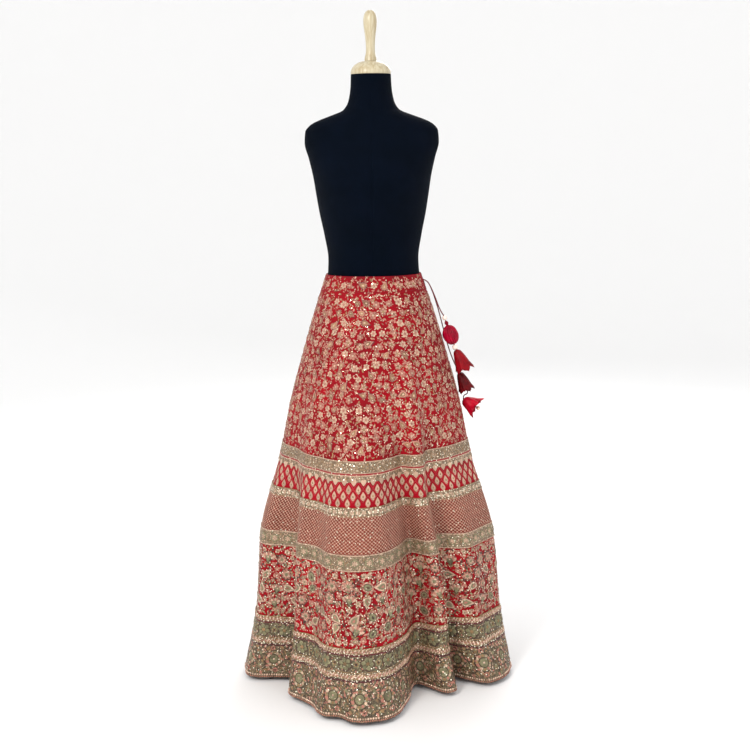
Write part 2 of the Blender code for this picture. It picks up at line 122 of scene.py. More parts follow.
# Soft creases between the fold lines: the line that each starts and ends nearest to, counted from the
# middle of the back, its upper and lower height, half its width and its depth. One that stands out has a
# minus depth.
CREASES = [
    (0.6, 0.5, 0.56, 0.02, 0.016, 0.0040), (1.5, 1.6, 0.33, 0.01, 0.014, 0.0035),
    (2.4, 2.5, 0.70, 0.10, 0.020, 0.0045), (3.6, 3.5, 0.48, 0.01, 0.013, 0.0040),
    (4.5, 4.5, 0.64, 0.22, 0.016, 0.0030), (5.6, 5.5, 0.38, 0.01, 0.015, 0.0040),
    (6.7, 6.6, 0.75, 0.05, 0.015, 0.0035), (7.5, 7.6, 0.50, 0.01, 0.019, 0.0050),
    (8.5, 8.4, 0.66, 0.14, 0.016, 0.0035), (9.5, 9.6, 0.42, 0.01, 0.015, 0.0045),
    (10.5, 10.5, 0.62, 0.02, 0.017, 0.0040), (11.5, 11.6, 0.30, 0.01, 0.012, -0.0030),
    (12.5, 12.4, 0.50, 0.08, 0.013, 0.0016), (13.9, 14.0, 0.80, 0.30, 0.020, 0.0018),
    (14.6, 14.5, 0.34, 0.01, 0.014, 0.0028), (15.5, 15.4, 0.55, 0.05, 0.015, -0.0025),
    (16.5, 16.5, 0.44, 0.01, 0.010, 0.0022), (18.5, 18.4, 0.40, 0.01, 0.012, 0.0024),
    (20.6, 20.5, 0.52, 0.02, 0.012, -0.0025), (21.6, 21.5, 0.34, 0.01, 0.013, 0.0030),
    (22.5, 22.6, 0.58, 0.03, 0.015, 0.0030), (23.6, 23.5, 0.45, 0.01, 0.016, 0.0045),
    (24.5, 24.6, 0.62, 0.08, 0.014, 0.0030), (25.5, 25.5, 0.36, 0.01, 0.015, 0.0040),
    (26.6, 26.5, 0.60, 0.01, 0.016, 0.0040), (27.5, 27.6, 0.46, 0.06, 0.013, 0.0035),
    (28.5, 28.4, 0.68, 0.02, 0.018, 0.0045), (29.6, 29.5, 0.40, 0.01, 0.014, 0.0035),
    (30.6, 30.5, 0.55, 0.04, 0.015, 0.0040), (31.5, 31.6, 0.35, 0.01, 0.014, 0.0040),
    (32.4, 32.5, 0.66, 0.10, 0.017, 0.0035),
]

ROWS = 241
CASING_ROWS = 13
COLUMNS_PER_SPAN = 12
LOOKUP = 2048


def steady(stations, values, at):
    """Each line's value at these heights, on a curve through its stations that never overshoots."""
    steps = np.diff(stations)[:, None]
    slopes = np.diff(values, axis=0) / steps
    before, after = slopes[:-1], slopes[1:]
    weight_before = 2 * steps[1:] + steps[:-1]
    weight_after = steps[1:] + 2 * steps[:-1]
    with np.errstate(divide="ignore", invalid="ignore"):
        inner = (weight_before + weight_after) / (weight_before / before + weight_after / after)
    inner = np.where(before * after > 0, inner, 0.0)
    tangents = np.vstack([slopes[:1], inner, slopes[-1:]])
    i = np.clip(np.searchsorted(stations, at, side="right") - 1, 0, len(steps) - 1)
    t = ((at - stations[i]) / steps[i, 0])[:, None]
    return (
        (1 + 2 * t) * (1 - t) ** 2 * values[i]
        + t * (1 - t) ** 2 * steps[i] * tangents[i]
        + t * t * (3 - 2 * t) * values[i + 1]
        + t * t * (t - 1) * steps[i] * tangents[i + 1]
    )


def oval_radius(degrees, half_width, front, back):
    """The radius, in these directions, of an oval that is deeper in front or behind."""
    angle = np.radians(degrees)
    depth = np.where(np.sin(angle) < 0, front, back)
    return half_width * depth / np.hypot(depth * np.cos(angle), half_width * np.sin(angle))


def fold_points(z):
    """Where each fold line crosses these heights: heights by lines by x and y."""
    thigh_angle, thigh, border_angle, border, hem_angle, hem = np.array(list(FOLDS.values())).T
    swell = thigh - oval_radius(thigh_angle, *SECTIONS[-1][1:4])
    radii = [oval_radius(thigh_angle, *section[1:4]) + section[4] * swell for section in SECTIONS]
    radii += [thigh + KNEE_RADIUS_SHARE * (border - thigh), border, hem]
    knee_angle = thigh_angle + KNEE_ANGLE_SHARE * (border_angle - thigh_angle)
    angles = [thigh_angle] * len(SECTIONS) + [knee_angle, border_angle, hem_angle]
    heights = np.array([section[0] for section in SECTIONS] + [KNEE_Z, BORDER_Z, HEM_Z])[::-1]
    radius, angle = (steady(heights, np.array(values[::-1]), z) for values in (radii, angles))
    angle = np.radians(angle)
    return np.stack([radius * np.cos(angle), radius * np.sin(angle)], axis=-1)


def round_span(before, start, end, after, t):
    """Points at t between start and end, on the round curve through all four points, at each height."""
    def length(a, b):
        return np.sqrt(np.linalg.norm(b - a, axis=-1))[:, None, None]

    def blend(a, b, from_time, to_time):
        return a + (b - a) * (time - from_time) / (to_time - from_time)

    time_1 = length(before, start)
    time_2 = time_1 + length(start, end)
    time_3 = time_2 + length(end, after)
    time = time_1 + (time_2 - time_1) * t[None, :, None]
    before, start, end, after = (p[:, None, :] for p in (before, start, end, after))
    a = blend(before, start, 0.0, time_1)
    b = blend(start, end, time_1, time_2)
    c = blend(end, after, time_2, time_3)
    return blend(blend(a, b, 0.0, time_2), blend(b, c, time_1, time_3), time_1, time_2)


def walked(points, axis=0):
    """How far along a run of points each of them lies."""
    steps = np.linalg.norm(np.diff(points, axis=axis), axis=-1)
    start = np.zeros_like(steps.take([0], axis=axis))
    return np.concatenate([start, np.cumsum(steps, axis=axis)], axis=axis)


def ring_points(z, per_span):
    """The cloth's outline at these heights, with this many even steps from each fold line to the next."""
    knots = fold_points(z)
    count = knots.shape[1]
    steps = np.arange(per_span)
    spans = []
    for k in range(count):
        span = round_span(*(knots[:, (k + i) % count] for i in (-1, 0, 1, 2)), np.linspace(0, 1, 25))
        spans.append([
            [np.interp(way[-1] * steps / per_span, way, line[:, axis]) for axis in (0, 1)]
            for way, line in zip(walked(span, 1), span)
        ])
    return np.concatenate(spans, axis=2).transpose(0, 2, 1)


def smooth_step(x):
    x = np.clip(x, 0.0, 1.0)
    return x * x * (3 - 2 * x)


class Cloth:
    """The skirt's outer face as a fine grid of rows, from the top down, and columns round it."""

    def __init__(self, top_z, bottom_z, rows, creased=True):
        self.z = np.linspace(top_z, bottom_z, rows)
        outline = ring_points(self.z, COLUMNS_PER_SPAN)
        self.columns = outline.shape[1]
        heights = np.broadcast_to(self.z[:, None, None], (rows, self.columns, 1))
        self.points = np.concatenate([outline, heights], axis=2)
        self.measure()
        if creased:
            inwards = self.normals * self.crease_depth()[:, :, None] * np.array([1.0, 1.0, 0.0])
            self.points = self.points - inwards
            self.measure()

    def measure(self):
        """The outward normals, and each row's distance round to each column."""
        around = np.roll(self.points, -1, axis=1) - np.roll(self.points, 1, axis=1)
        normals = np.cross(around, -np.gradient(self.points, axis=0))
        self.normals = normals / np.linalg.norm(normals, axis=-1, keepdims=True)
        self.round = walked(np.concatenate([self.points, self.points[:, :1]], axis=1), 1)
        self.girth = self.round[:, -1]
        even = np.linspace(0, 1, LOOKUP + 1)
        index = np.arange(self.columns + 1)
        self.column_at = np.stack([np.interp(even * row[-1], row, index) for row in self.round])

    def crease_depth(self):
        """How far the soft creases press the cloth in at each point."""
        depth = np.zeros((len(self.z), self.columns))
        for start, end, high, low, half_width, deep in CREASES:
            share = (high - self.z) / (high - low)
            strength = smooth_step(share * 2.2) * (1 - 0.25 * np.clip(share, 0, 1))
            line = (start + (end - start) * np.clip(share, 0, 1)) * COLUMNS_PER_SPAN
            for row in np.nonzero(strength > 0)[0]:
                middle = np.interp(line[row], np.arange(self.columns + 1), self.round[row])
                away = np.abs(self.round[row, :-1] - middle)
                away = np.minimum(away, self.girth[row] - away)
                depth[row] += deep * strength[row] * np.exp(-(away / half_width) ** 2)
        return depth

    def row_of(self, z):
        return (self.z[0] - z) / (self.z[0] - self.z[-1]) * (len(self.z) - 1)

    def girth_at(self, z):
        return float(np.interp(self.row_of(z), np.arange(len(self.z)), self.girth))

    def at(self, level, share, across, down, lift):
        """Points on the cloth: the share of the way round at this level, then across and down from it."""
        row = np.clip(np.rint(self.row_of(level)).astype(int), 0, len(self.z) - 1)
        place = np.mod(share + across / self.girth[row], 1.0) * LOOKUP
        low = np.minimum(place.astype(int), LOOKUP - 1)
        past = place - low
        column = self.column_at[row, low] * (1 - past) + self.column_at[row, low + 1] * past
        return self.on_grid(self.row_of(level - down), column, lift)

    def on_grid(self, row, column, lift):
        """The points at these rows and columns, in fractions, lifted off the cloth's face."""
        row = np.clip(row, 0, len(self.z) - 1.0001)
        upper = row.astype(int)
        left = np.floor(column).astype(int)
        a, b = (row - upper)[:, None], (column - left)[:, None]
        left, right = left % self.columns, (left + 1) % self.columns

        def mixed(grid):
            top = grid[upper, left] * (1 - b) + grid[upper, right] * b
            bottom = grid[upper + 1, left] * (1 - b) + grid[upper + 1, right] * b
            return top * (1 - a) + bottom * a

        normal = mixed(self.normals)
        normal /= np.linalg.norm(normal, axis=1, keepdims=True)
        return mixed(self.points) + normal * lift[:, None]


CLOTH = Cloth(PANEL_TOP_Z, HEM_Z, ROWS)
CASING = Cloth(WAIST_Z, CASING_LOW_Z, CASING_ROWS, creased=False)
SEAM_COLUMN = list(FOLDS).index("left_side") * COLUMNS_PER_SPAN
SLIT_SHARE = CASING.round[0, SEAM_COLUMN] / CASING.girth[0]


def panel_seams():
    """The columns of the ten panel seams, from the left side seam round, at the design's facets."""
    columns = []
    for k, width in enumerate(np.diff(CLOTH.round[-1, ::COLUMNS_PER_SPAN])):
        parts = max(2, round(width / FACET_WIDTH))
        columns += [(k + part / parts) * COLUMNS_PER_SPAN for part in range(parts)]
    total = len(columns)
    seams = [columns.index(SEAM_COLUMN) + round(total * i / PANEL_COUNT) for i in range(PANEL_COUNT + 1)]
    return [round(columns[seam % total]) + seam // total * CLOTH.columns for seam in seams]


SEAMS = panel_seams()
HALVES = {"back": SEAMS[::PANEL_COUNT // 2][:2], "front": SEAMS[::PANEL_COUNT // 2][1:]}

# ---------------------------------------------------------------- materials

THREAD_PITCH = 0.0005          # a stitch of zari thread
WEAVE_PITCH = 0.0006           # a yarn of the silk ground
BANDS_PER_UNIT = 20 / math.tau  # how many bands a wave texture of scale 1 has in one unit


def feed(links, socket, value):
    """Gives a socket another node's output, or a value of its own."""
    if isinstance(value, bpy.types.NodeSocket):
        links.new(value, socket)
    else:
        socket.default_value = value


class Look:
    """A Principled material, with short ways to add the nodes that vary it."""

    def __init__(self, name, colour, roughness, metallic=0.0, **sockets):
        self.material = bpy.data.materials.new(name)
        self.material.use_nodes = True
        self.nodes = self.material.node_tree.nodes
        self.links = self.material.node_tree.links
        self.shader = self.nodes["Principled BSDF"]
        sockets.update(Base_Color=(*colour, 1.0), Roughness=roughness, Metallic=metallic)
        for socket, value in sockets.items():
            self.shader.inputs[socket.replace("_", " ")].default_value = value

    def add(self, kind, **inputs):
        node = self.nodes.new("ShaderNode" + kind)
        for socket, value in inputs.items():
            feed(self.links, node.inputs[socket.replace("_", " ")], value)
        return node

    def place(self, which="Object"):
        return self.add("TexCoord").outputs[which]

    def noise(self, scale, detail=3.0, roughness=0.55, place=None):
        sizes = {"Scale": scale, "Detail": detail, "Roughness": roughness}
        return self.add("TexNoise", Vector=place or self.place(), **sizes).outputs["Fac"]

    def bands(self, pitch, direction="X", distortion=0.0, which="UV"):
        node = self.add(
            "TexWave", Vector=self.place(which), Scale=1 / (pitch * BANDS_PER_UNIT), Distortion=distortion,
            Detail=1.0, Detail_Scale=2.0,
        )
        node.bands_direction = direction
        return node.outputs["Fac"]

    def speckle(self, size):
        """A value for each cell of about this size."""
        return self.add("TexVoronoi", Vector=self.place(), Scale=1 / size)

    def ramp(self, factor, *stops):
        """Colours or greys at positions from 0 to 1."""
        node = self.add("ValToRGB", Fac=factor)
        elements = node.color_ramp.elements
        while len(elements) < len(stops):
            elements.new(0.5)
        for element, (position, colour) in zip(elements, stops):
            element.position = position
            element.color = (*colour, 1.0) if isinstance(colour, tuple) else (colour, colour, colour, 1.0)
        return node.outputs["Color"]

    def mix(self, factor, first, second):
        node = self.add("Mix")
        node.data_type = "RGBA"
        for socket, value in zip([s for s in node.inputs if s.enabled], (factor, first, second)):
            feed(self.links, socket, (*value, 1.0) if isinstance(value, tuple) else value)
        return [s for s in node.outputs if s.enabled][0]

    def stretch(self, factor, low, high):
        return self.add("MapRange", Value=factor, To_Min=low, To_Max=high).outputs["Result"]

    def per_island(self):
        """A value for each patch or line of stitches."""
        return self.add("NewGeometry").outputs["Random Per Island"]

    def finished(self, colour, roughness, *bumps):
        """The material, with its colour, its roughness and relief (heights, depths and strengths) fed in."""
        feed(self.links, self.shader.inputs["Base Color"], colour)
        feed(self.links, self.shader.inputs["Roughness"], roughness)
        normal = self.shader.inputs["Normal"]
        for height, depth, strength in bumps:
            node = self.add("Bump", Height=height, Distance=depth, Strength=strength)
            if normal.links:
                self.links.new(normal.links[0].from_socket, node.inputs["Normal"])
            self.links.new(node.outputs["Normal"], normal)
        return self.material


def rgb(red, green, blue):
    """A linear colour from its screen values, 0 to 255."""
    def part(value):
        value /= 255
        return value / 12.92 if value <= 0.04045 else ((value + 0.055) / 1.055) ** 2.4
    return part(red), part(green), part(blue)


def scaled(colour, factor):
    return tuple(min(1.0, part * factor) for part in colour)


def silk(name, colour, shade):
    """Raw silk ground: plain weave with slubs, darker where it is worn and pressed."""
    look = Look(name, colour, 0.62, Sheen_Weight=0.03, Sheen_Roughness=0.4, Specular_IOR_Level=0.12)
    slubs = look.noise(900.0, 2.0)
    patches = look.ramp(look.noise(9.0, 4.0), (0.30, shade), (0.66, colour))
    yarns = [(look.bands(WEAVE_PITCH, direction, 0.6), 0.00012, 0.5) for direction in "XY"]
    return look.finished(
        look.mix(look.stretch(slubs, 0.0, 0.35), patches, shade), look.stretch(slubs, 0.5, 0.72), *yarns,
    )


def zari_cloth(name, colour, shade, painted_glint):
    """Cloth so thick with zari and small bead work that no ground shows between the stitches."""
    look = Look(name, colour, 0.45, 0.30, Specular_IOR_Level=0.6)
    stitches, fine = look.speckle(0.0021), look.speckle(0.0009)
    value = look.add("SeparateColor", Color=stitches.outputs["Color"]).outputs["Red"]
    # Each stitch's tone differs at random; the darkest stand in as painted shade between stitches, the
    # brightest as a painted glint.
    tone = look.ramp(value, (0.0, shade), (0.42, colour), (0.80, colour), (1.0, painted_glint))
    patches = look.ramp(look.noise(60.0, 4.0), (0.35, 0.55), (0.62, 0.0))
    return look.finished(
        look.mix(patches, tone, shade), look.stretch(value, 0.34, 0.62),
        (stitches.outputs["Distance"], 0.0007, 0.6), (fine.outputs["Distance"], 0.0003, 0.4),
    )


def thread(name, colour, shade, painted_glint, metallic=0.25):
    """Zari thread laid in satin stitch: motifs differ a little in tone at random, and the brightest of them
    carry a painted glint.
    """
    look = Look(name, colour, 0.42, metallic, Specular_IOR_Level=0.5)
    # A darker copy of the colour for some motifs, and a painted glint for the brightest.
    dark, bright = scaled(colour, shade), scaled(colour, painted_glint)
    tone = look.ramp(look.per_island(), (0.0, dark), (0.35, colour), (0.75, colour), (1.0, bright))
    stitches = look.bands(THREAD_PITCH, "DIAGONAL", 0.4)
    return look.finished(
        look.mix(look.stretch(stitches, 0.0, 0.38), tone, dark), look.stretch(stitches, 0.30, 0.55),
        (stitches, 0.00022, 0.8),
    )


def bead(name, dark, light, roughness, metallic):
    """Cut beads and sequins: glossy, no two quite alike."""
    look = Look(name, light, roughness, metallic, Coat_Weight=0.5, Coat_Roughness=0.08)
    # Tone differs at random from bead to bead; the brightest, past the bead's own colour, are a painted glint
    # that stands in for the sequins' glitter.
    tone = look.ramp(look.per_island(), (0.0, dark), (0.45, light), (1.0, scaled(light, 1.25)))
    return look.finished(tone, look.stretch(look.noise(400.0, 1.0), roughness * 0.7, roughness * 1.5))


# Each kind of stitch, with how dark its darker motifs are and how bright its painted glint is beside its own
# colour
STITCHES = {
    "cream": thread("zari_cream", rgb(208, 172, 146), 0.72, 1.25),
    "rose": thread("zari_rose", rgb(188, 124, 106), 0.55, 1.3),
    "gold": thread("zari_gold", rgb(160, 126, 88), 0.5, 1.35, 0.4),
    "green_gold": thread("zari_green_gold", rgb(138, 132, 98), 0.55, 1.35, 0.3),
    "maroon": thread("thread_maroon", rgb(96, 8, 20), 0.5, 1.4, 0.0),
    "bead": bead("cut_bead", rgb(140, 108, 82), rgb(214, 180, 156), 0.22, 0.35),
    "sequin": bead("sequin", rgb(150, 128, 96), rgb(250, 232, 206), 0.16, 0.85),
    "red": thread("thread_red", rgb(176, 4, 28), 0.6, 1.3, 0.0),
    "brown": thread("thread_brown", rgb(78, 54, 38), 0.6, 1.4, 0.1),
}
SLOT = {kind: i for i, kind in enumerate(STITCHES)}

# The lowest height of each zone of the panels, and its ground
ZONES = [
    (0.633, silk("silk_red", rgb(168, 2, 24), rgb(120, 2, 16))),
    (0.533, silk("silk_red_bright", rgb(178, 2, 28), rgb(138, 2, 22))),
    (0.405, silk("silk_rose", rgb(136, 62, 48), rgb(96, 34, 26))),
    (0.0, silk("silk_deep_red", rgb(176, 2, 24), rgb(120, 4, 16))),
]
LINING = silk("silk_lining", rgb(130, 10, 24), rgb(100, 6, 16))
# Zari cloths: each has its colour, the painted shade of its darkest stitches and the painted glint of its
# brightest.
BAND_CLOTH = zari_cloth("zari_band", rgb(152, 126, 99), rgb(84, 65, 46), rgb(218, 194, 168))
BORDER_CLOTH = zari_cloth("zari_border", rgb(110, 94, 68), rgb(54, 42, 30), rgb(168, 148, 116))

# ---------------------------------------------------------------- meshes


def new_object(name, data):
    obj = bpy.data.objects.new(name, data)
    bpy.context.scene.collection.objects.link(obj)
    return obj


def on_part(obj, finish, *nodes):
    """Puts a piece on the part's body, in place of these solids. Its finish is not used."""
    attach(obj, "root")
    if nodes:
        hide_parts(*nodes)
    return obj


def mesh_object(name, points, triangles, materials, slots=None, uv=None, sharp=None):
    """An object of these triangles, shaded smooth."""
    triangles = np.asarray(triangles, np.int32)
    mesh = bpy.data.meshes.new(name)
    mesh.vertices.add(len(points))
    mesh.vertices.foreach_set("co", np.asarray(points, np.float32).ravel())
    mesh.loops.add(triangles.size)
    mesh.loops.foreach_set("vertex_index", triangles.ravel())
    mesh.polygons.add(len(triangles))
    mesh.polygons.foreach_set("loop_start", np.arange(0, triangles.size, 3, dtype=np.int32))
    mesh.polygons.foreach_set("use_smooth", np.ones(len(triangles), bool))
    if slots is not None:
        mesh.polygons.foreach_set("material_index", np.asarray(slots, np.int32))
    layer = mesh.uv_layers.new(name="uv")
    layer.data.foreach_set("uv", np.asarray(uv, np.float32)[triangles.ravel()].ravel())
    mesh.update(calc_edges=True)
    mesh.validate()
    if sharp:
        mesh.set_sharp_from_angle(angle=math.radians(sharp))
    for material in materials:
        mesh.materials.append(material)
    return new_object(name, mesh)


def grid_triangles(rows, columns, start=0):
    """Two triangles for each cell of a grid of points."""
    index = start + np.arange(rows * columns).reshape(rows, columns)
    a, b = index[:-1, :-1].ravel(), index[1:, :-1].ravel()
    c, d = index[1:, 1:].ravel(), index[:-1, 1:].ravel()
    return np.concatenate([np.stack([a, b, c], 1), np.stack([a, c, d], 1)])


def wall_triangles(rows, columns, start=0):
    """A closed wall: a front grid of points, the back grid that follows it, and the rim between them."""
    behind = rows * columns
    index = start + np.arange(behind).reshape(rows, columns)
    rim = np.concatenate([index[0, ::-1], index[1:, 0], index[-1, 1:], index[-2:0:-1, -1]])
    after = np.roll(rim, -1)
    return np.concatenate([
        grid_triangles(rows, columns, start), grid_triangles(rows, columns, start + behind)[:, ::-1],
        np.stack([rim, rim + behind, after + behind], 1), np.stack([rim, after + behind, after], 1),
    ])


def leaned(points, degrees):
    """Points turned about the Y axis, so that what hangs straight down leans out to +X."""
    angle = math.radians(degrees)
    x, y, z = np.asarray(points, float).T
    return np.stack([
        x * math.cos(angle) - z * math.sin(angle), y, x * math.sin(angle) + z * math.cos(angle)
    ], axis=1)


def ringed(name, rings, ends, around, material, top=(0.0, 0.0, 0.0), tilt=0.0, sharp=None):
    """A closed piece of stacked rings, from the top down, that narrows to a point at these two heights."""
    count, sides = rings.shape[:2]
    points = np.vstack([rings.reshape(-1, 3), [(0, 0, z) for z in ends]])
    index = np.arange(count * sides).reshape(count, sides)
    after = np.roll(index, -1, axis=1)
    first, last = (np.full(sides, count * sides + i) for i in (0, 1))
    corners = (
        (index[:-1], index[1:], after[1:]), (index[:-1], after[1:], after[:-1]),
        (first, index[0], after[0]), (index[-1], last, after[-1]),
    )
    triangles = np.concatenate([np.stack(three, -1).reshape(-1, 3) for three in corners])
    uv = np.stack([np.append(np.broadcast_to(around, (count, sides)), (0.0, 0.0)), points[:, 2]], axis=1)
    return mesh_object(name, leaned(points, tilt) + np.array(top), triangles, [material], None, uv, sharp)


def turned_piece(name, profile, sides, material, top=(0.0, 0.0, 0.0)):
    """A turned piece. Its profile is radius and height, down from its upper end."""
    profile = np.asarray(profile, float)
    angles = np.arange(sides) / sides * math.tau
    radius = profile[1:-1, :1]
    height = np.repeat(profile[1:-1, 1:], sides, axis=1)
    rings = np.stack([radius * np.cos(angles), radius * np.sin(angles), height], axis=-1)
    return ringed(name, rings, profile[[0, -1], 1], angles * radius.max(), material, top, sharp=40)


def smooth_line(points, per_span):
    """A smooth curve through these points, with this many steps between each two."""
    points = np.asarray(points, float)
    ends = [2 * points[0] - points[1], *points, 2 * points[-1] - points[-2]]
    share = np.arange(per_span) / per_span
    spans = [round_span(*(np.array([p]) for p in ends[i:i + 4]), share)[0] for i in range(len(points) - 1)]
    return np.vstack([*spans, points[-1:]])


def arc(start, end, radius, steps=6, centre=(0.0, 0.0)):
    angles = np.radians(np.linspace(start, end, steps + 1))
    return np.stack([np.cos(angles), np.sin(angles)], 1) * radius + centre


# ---------------------------------------------------------------- camera, floor and light

CAMERA_PLACE = (0.0, -3.4, 1.42)
CAMERA_PITCH = 9.886       # degrees down
CAMERA_ROLL = -0.8
CAMERA_LENS = 61.97
STAGE_RADIUS = 7.0
STAGE_HEIGHT = 5.0
STAGE_BEND = 2.5
STAGE_SIDES = 96
STAGE_INNER = 2.0          # where the flat floor's first ring lies
WORLD_STRENGTH = 0.90


def camera():
    data = bpy.data.cameras.new("camera")
    data.lens = CAMERA_LENS
    obj = new_object("camera", data)
    obj.location = CAMERA_PLACE
    pitch = Matrix.Rotation(math.radians(90 - CAMERA_PITCH), 4, "X")
    obj.rotation_euler = (pitch @ Matrix.Rotation(math.radians(CAMERA_ROLL), 4, "Z")).to_euler()
    bpy.context.scene.camera = obj


def floor():
    """A plain pale floor that curves up into a wall all round, wide enough for every view."""
    white = rgb(250, 250, 250)
    look = Look("floor", white, 0.85, Specular_IOR_Level=0.2)
    bend = arc(-90, 0, STAGE_BEND, 12, (STAGE_RADIUS - STAGE_BEND, STAGE_BEND))
    profile = [(STAGE_INNER, 0.0), *bend, (STAGE_RADIUS, STAGE_HEIGHT)]
    angles = np.arange(STAGE_SIDES) / STAGE_SIDES * math.tau
    points = [(r * math.cos(t), r * math.sin(t), z) for r, z in profile for t in angles] + [(0.0, 0.0, 0.0)]
    faces = []
    for side in range(STAGE_SIDES):
        after = (side + 1) % STAGE_SIDES
        faces.append((len(points) - 1, side, after))
        for low in range(0, (len(profile) - 1) * STAGE_SIDES, STAGE_SIDES):
            high = low + STAGE_SIDES
            faces.append((low + side, high + side, high + after, low + after))
    mesh = bpy.data.meshes.new("floor")
    mesh.from_pydata(points, [], faces)
    mesh.shade_smooth()
    mesh.materials.append(look.finished((*white, 1.0), look.stretch(look.noise(3.0), 0.78, 0.92)))
    new_object("floor", mesh)


def lamp(name, place, aim_z, size, watts, colour=(1.0, 1.0, 1.0)):
    """A round soft lamp, aimed at this height on the part's axis."""
    data = bpy.data.lights.new(name, "AREA")
    data.energy = watts
    data.color = colour
    data.shape = "DISK"
    data.size = size
    obj = new_object(name, data)
    obj.location = place
    obj.rotation_euler = (Vector((0.0, 0.0, aim_z)) - Vector(place)).to_track_quat("-Z", "Y").to_euler()


def light():
    world = bpy.data.worlds.new("studio")
    world.use_nodes = True
    background = world.node_tree.nodes["Background"]
    background.inputs["Color"].default_value = (1.0, 1.0, 1.0, 1.0)
    background.inputs["Strength"].default_value = WORLD_STRENGTH
    bpy.context.scene.world = world
    lamp("key", (-1.7, -3.0, 3.0), 0.7, 1.2, 78, (1.0, 0.97, 0.93))
    lamp("fill", (2.6, -2.4, 1.9), 0.7, 2.2, 12, (0.97, 0.98, 1.0))
    lamp("rear", (0.8, 3.4, 2.8), 0.8, 2.2, 50)
    bpy.context.scene.view_settings.view_transform = "Standard"


# ---------------------------------------------------------------- drawstring

CORD_DIAMETER = 0.003
FRONT_CORD_ROUTE = [
    (0.1270, -0.0187, 1.0845), (0.1340, -0.0192, 1.0825), (0.1430, -0.0196, 1.075), (0.1530, -0.0200, 1.056),
    (0.1620, -0.0204, 1.034), (0.1700, -0.0205, 1.0125), (0.1770, -0.0203, 0.9975), (0.1830, -0.0200, 0.9880),
]
REAR_CORD_ROUTE = [
    (0.1270, -0.0127, 1.0845), (0.1340, -0.0120, 1.0825), (0.1435, -0.0080, 1.074), (0.1540, 0.0020, 1.052),
    (0.1630, 0.0120, 1.026), (0.1715, 0.0185, 0.998), (0.1800, 0.0213, 0.965), (0.1900, 0.0200, 0.925),
    (0.2010, 0.0140, 0.887), (0.2120, 0.0050, 0.858), (0.2200, -0.0015, 0.842), (0.2253, -0.0040, 0.8325),
]
TAIL_CORD_ROUTE = [
    (0.2470, -0.0040, 0.7757), (0.2460, -0.0043, 0.7740), (0.2425, -0.0050, 0.7722),
    (0.2380, -0.0057, 0.7697), (0.2352, -0.0060, 0.7655), (0.2342, -0.0060, 0.7600),
]
FRONT_PEARL = (0.1857, -0.0200, 0.9812)
FRONT_PEARL_RADIUS = 0.0065
LARGE_PEARL = (0.2128, -0.0206, 0.9030)
LARGE_PEARL_RADIUS = 0.0075
# The upper end of each hanging piece, with its lean in degrees, and its length and radius
POMPOM_TOP = ((0.1883, -0.0202, 0.9738), 19.0)
POMPOM_LENGTH, POMPOM_RADIUS = 0.0668, 0.0215
UPPER_BELL_TOP = ((0.2158, -0.0208, 0.8957), 24.0)
UPPER_BELL_SIZE = (0.064, 0.0235)
LOWER_BELL_TOP = ((0.2257, -0.0040, 0.8315), 22.0)
LOWER_BELL_SIZE = (0.058, 0.0205)
FLOWER_TOP = ((0.2350, -0.0060, 0.7580), 60.0)
FLOWER_SIZE = (0.052, 0.0285)
FLOWER_BEAD_OFFSET = 0.0464
FLOWER_BEAD_RADIUS = 0.0055
FLOWER_FRONT_CUT = 0.30    # how much shorter the petals in front are than those behind
TUCKED = 0.010             # how far the front cord runs on inside its bell
FRONT_CORD_POINTS, REAR_CORD_POINTS = 24, 30
PEARL_STEPS, PEARL_SIDES = 25, 40
PEARL_DIMPLE = 0.12        # how deep its ends are, beside its radius
POMPOM_ROWS, POMPOM_SIDES, POMPOM_TUCKS = 46, 120, 15
POMPOM_NECK = 0.0032

PETAL_ROWS = 19
PETAL_COLUMNS = 13
PETAL_WALL = 0.0007
PETAL_THROAT = 0.0036      # the radius where the petals are sewn together


def below(top, distance):
    """The point this far along a hanging piece from its upper end."""
    (x, y, z), lean = top
    angle = math.radians(lean)
    return (x + distance * math.sin(angle), y, z - distance * math.cos(angle))


def satin(name, colour, shade):
    """Maroon satin: smooth floats of thread that catch the light along the folds."""
    look = Look(name, colour, 0.38, Anisotropic=0.4, Specular_IOR_Level=0.16)
    slubs = look.noise(700.0, 2.0)
    patches = look.ramp(look.noise(45.0), (0.35, 0.7), (0.65, 0.0))
    return look.finished(
        look.mix(patches, colour, shade), look.stretch(slubs, 0.28, 0.48),
        (look.bands(0.0007, "DIAGONAL", 1.0), 0.00012, 0.4), (slubs, 0.0002, 0.4),
    )


def twisted_cord():
    """Silk cord of three strands."""
    look = Look("silk_cord", rgb(112, 6, 22), 0.5, Sheen_Weight=0.05)
    strands = look.bands(0.0014, "DIAGONAL", 0.2, "Object")
    # Painted shade darkens the grooves between the strands, and their crests are painted lighter.
    return look.finished(look.mix(strands, rgb(64, 3, 12), rgb(132, 10, 28)), 0.5, (strands, 0.0004, 0.8))


def pearl_look():
    look = Look("pearl", rgb(248, 232, 218), 0.22, Coat_Weight=0.6, Coat_Roughness=0.1, Sheen_Weight=0.2)
    tone = look.ramp(look.noise(260.0), (0.3, rgb(244, 218, 204)), (0.7, rgb(255, 244, 232)))
    return look.finished(tone, look.stretch(look.noise(500.0), 0.16, 0.3))


def cord_curve(name, points, material, count, *nodes):
    """A round cord on one smooth spline through evenly spaced points of the route, with its length."""
    fine = smooth_line(points, 12)
    way = walked(fine)
    at = np.linspace(0, way[-1], count)
    curve = bpy.data.curves.new(name, "CURVE")
    curve.dimensions = "3D"
    curve.bevel_depth = CORD_DIAMETER / 2
    curve.bevel_resolution = 5
    curve.resolution_u = 5
    curve.use_fill_caps = True
    line = curve.splines.new("BEZIER")
    line.bezier_points.add(count - 1)
    places = np.stack([np.interp(at, way, part) for part in fine.T], axis=1)
    for point, place in zip(line.bezier_points, places):
        point.co = place
        point.handle_left_type = point.handle_right_type = "AUTO"
    curve.materials.append(material)
    return on_part(new_object(name, curve), "maroon_silk", *nodes), float(way[-1])


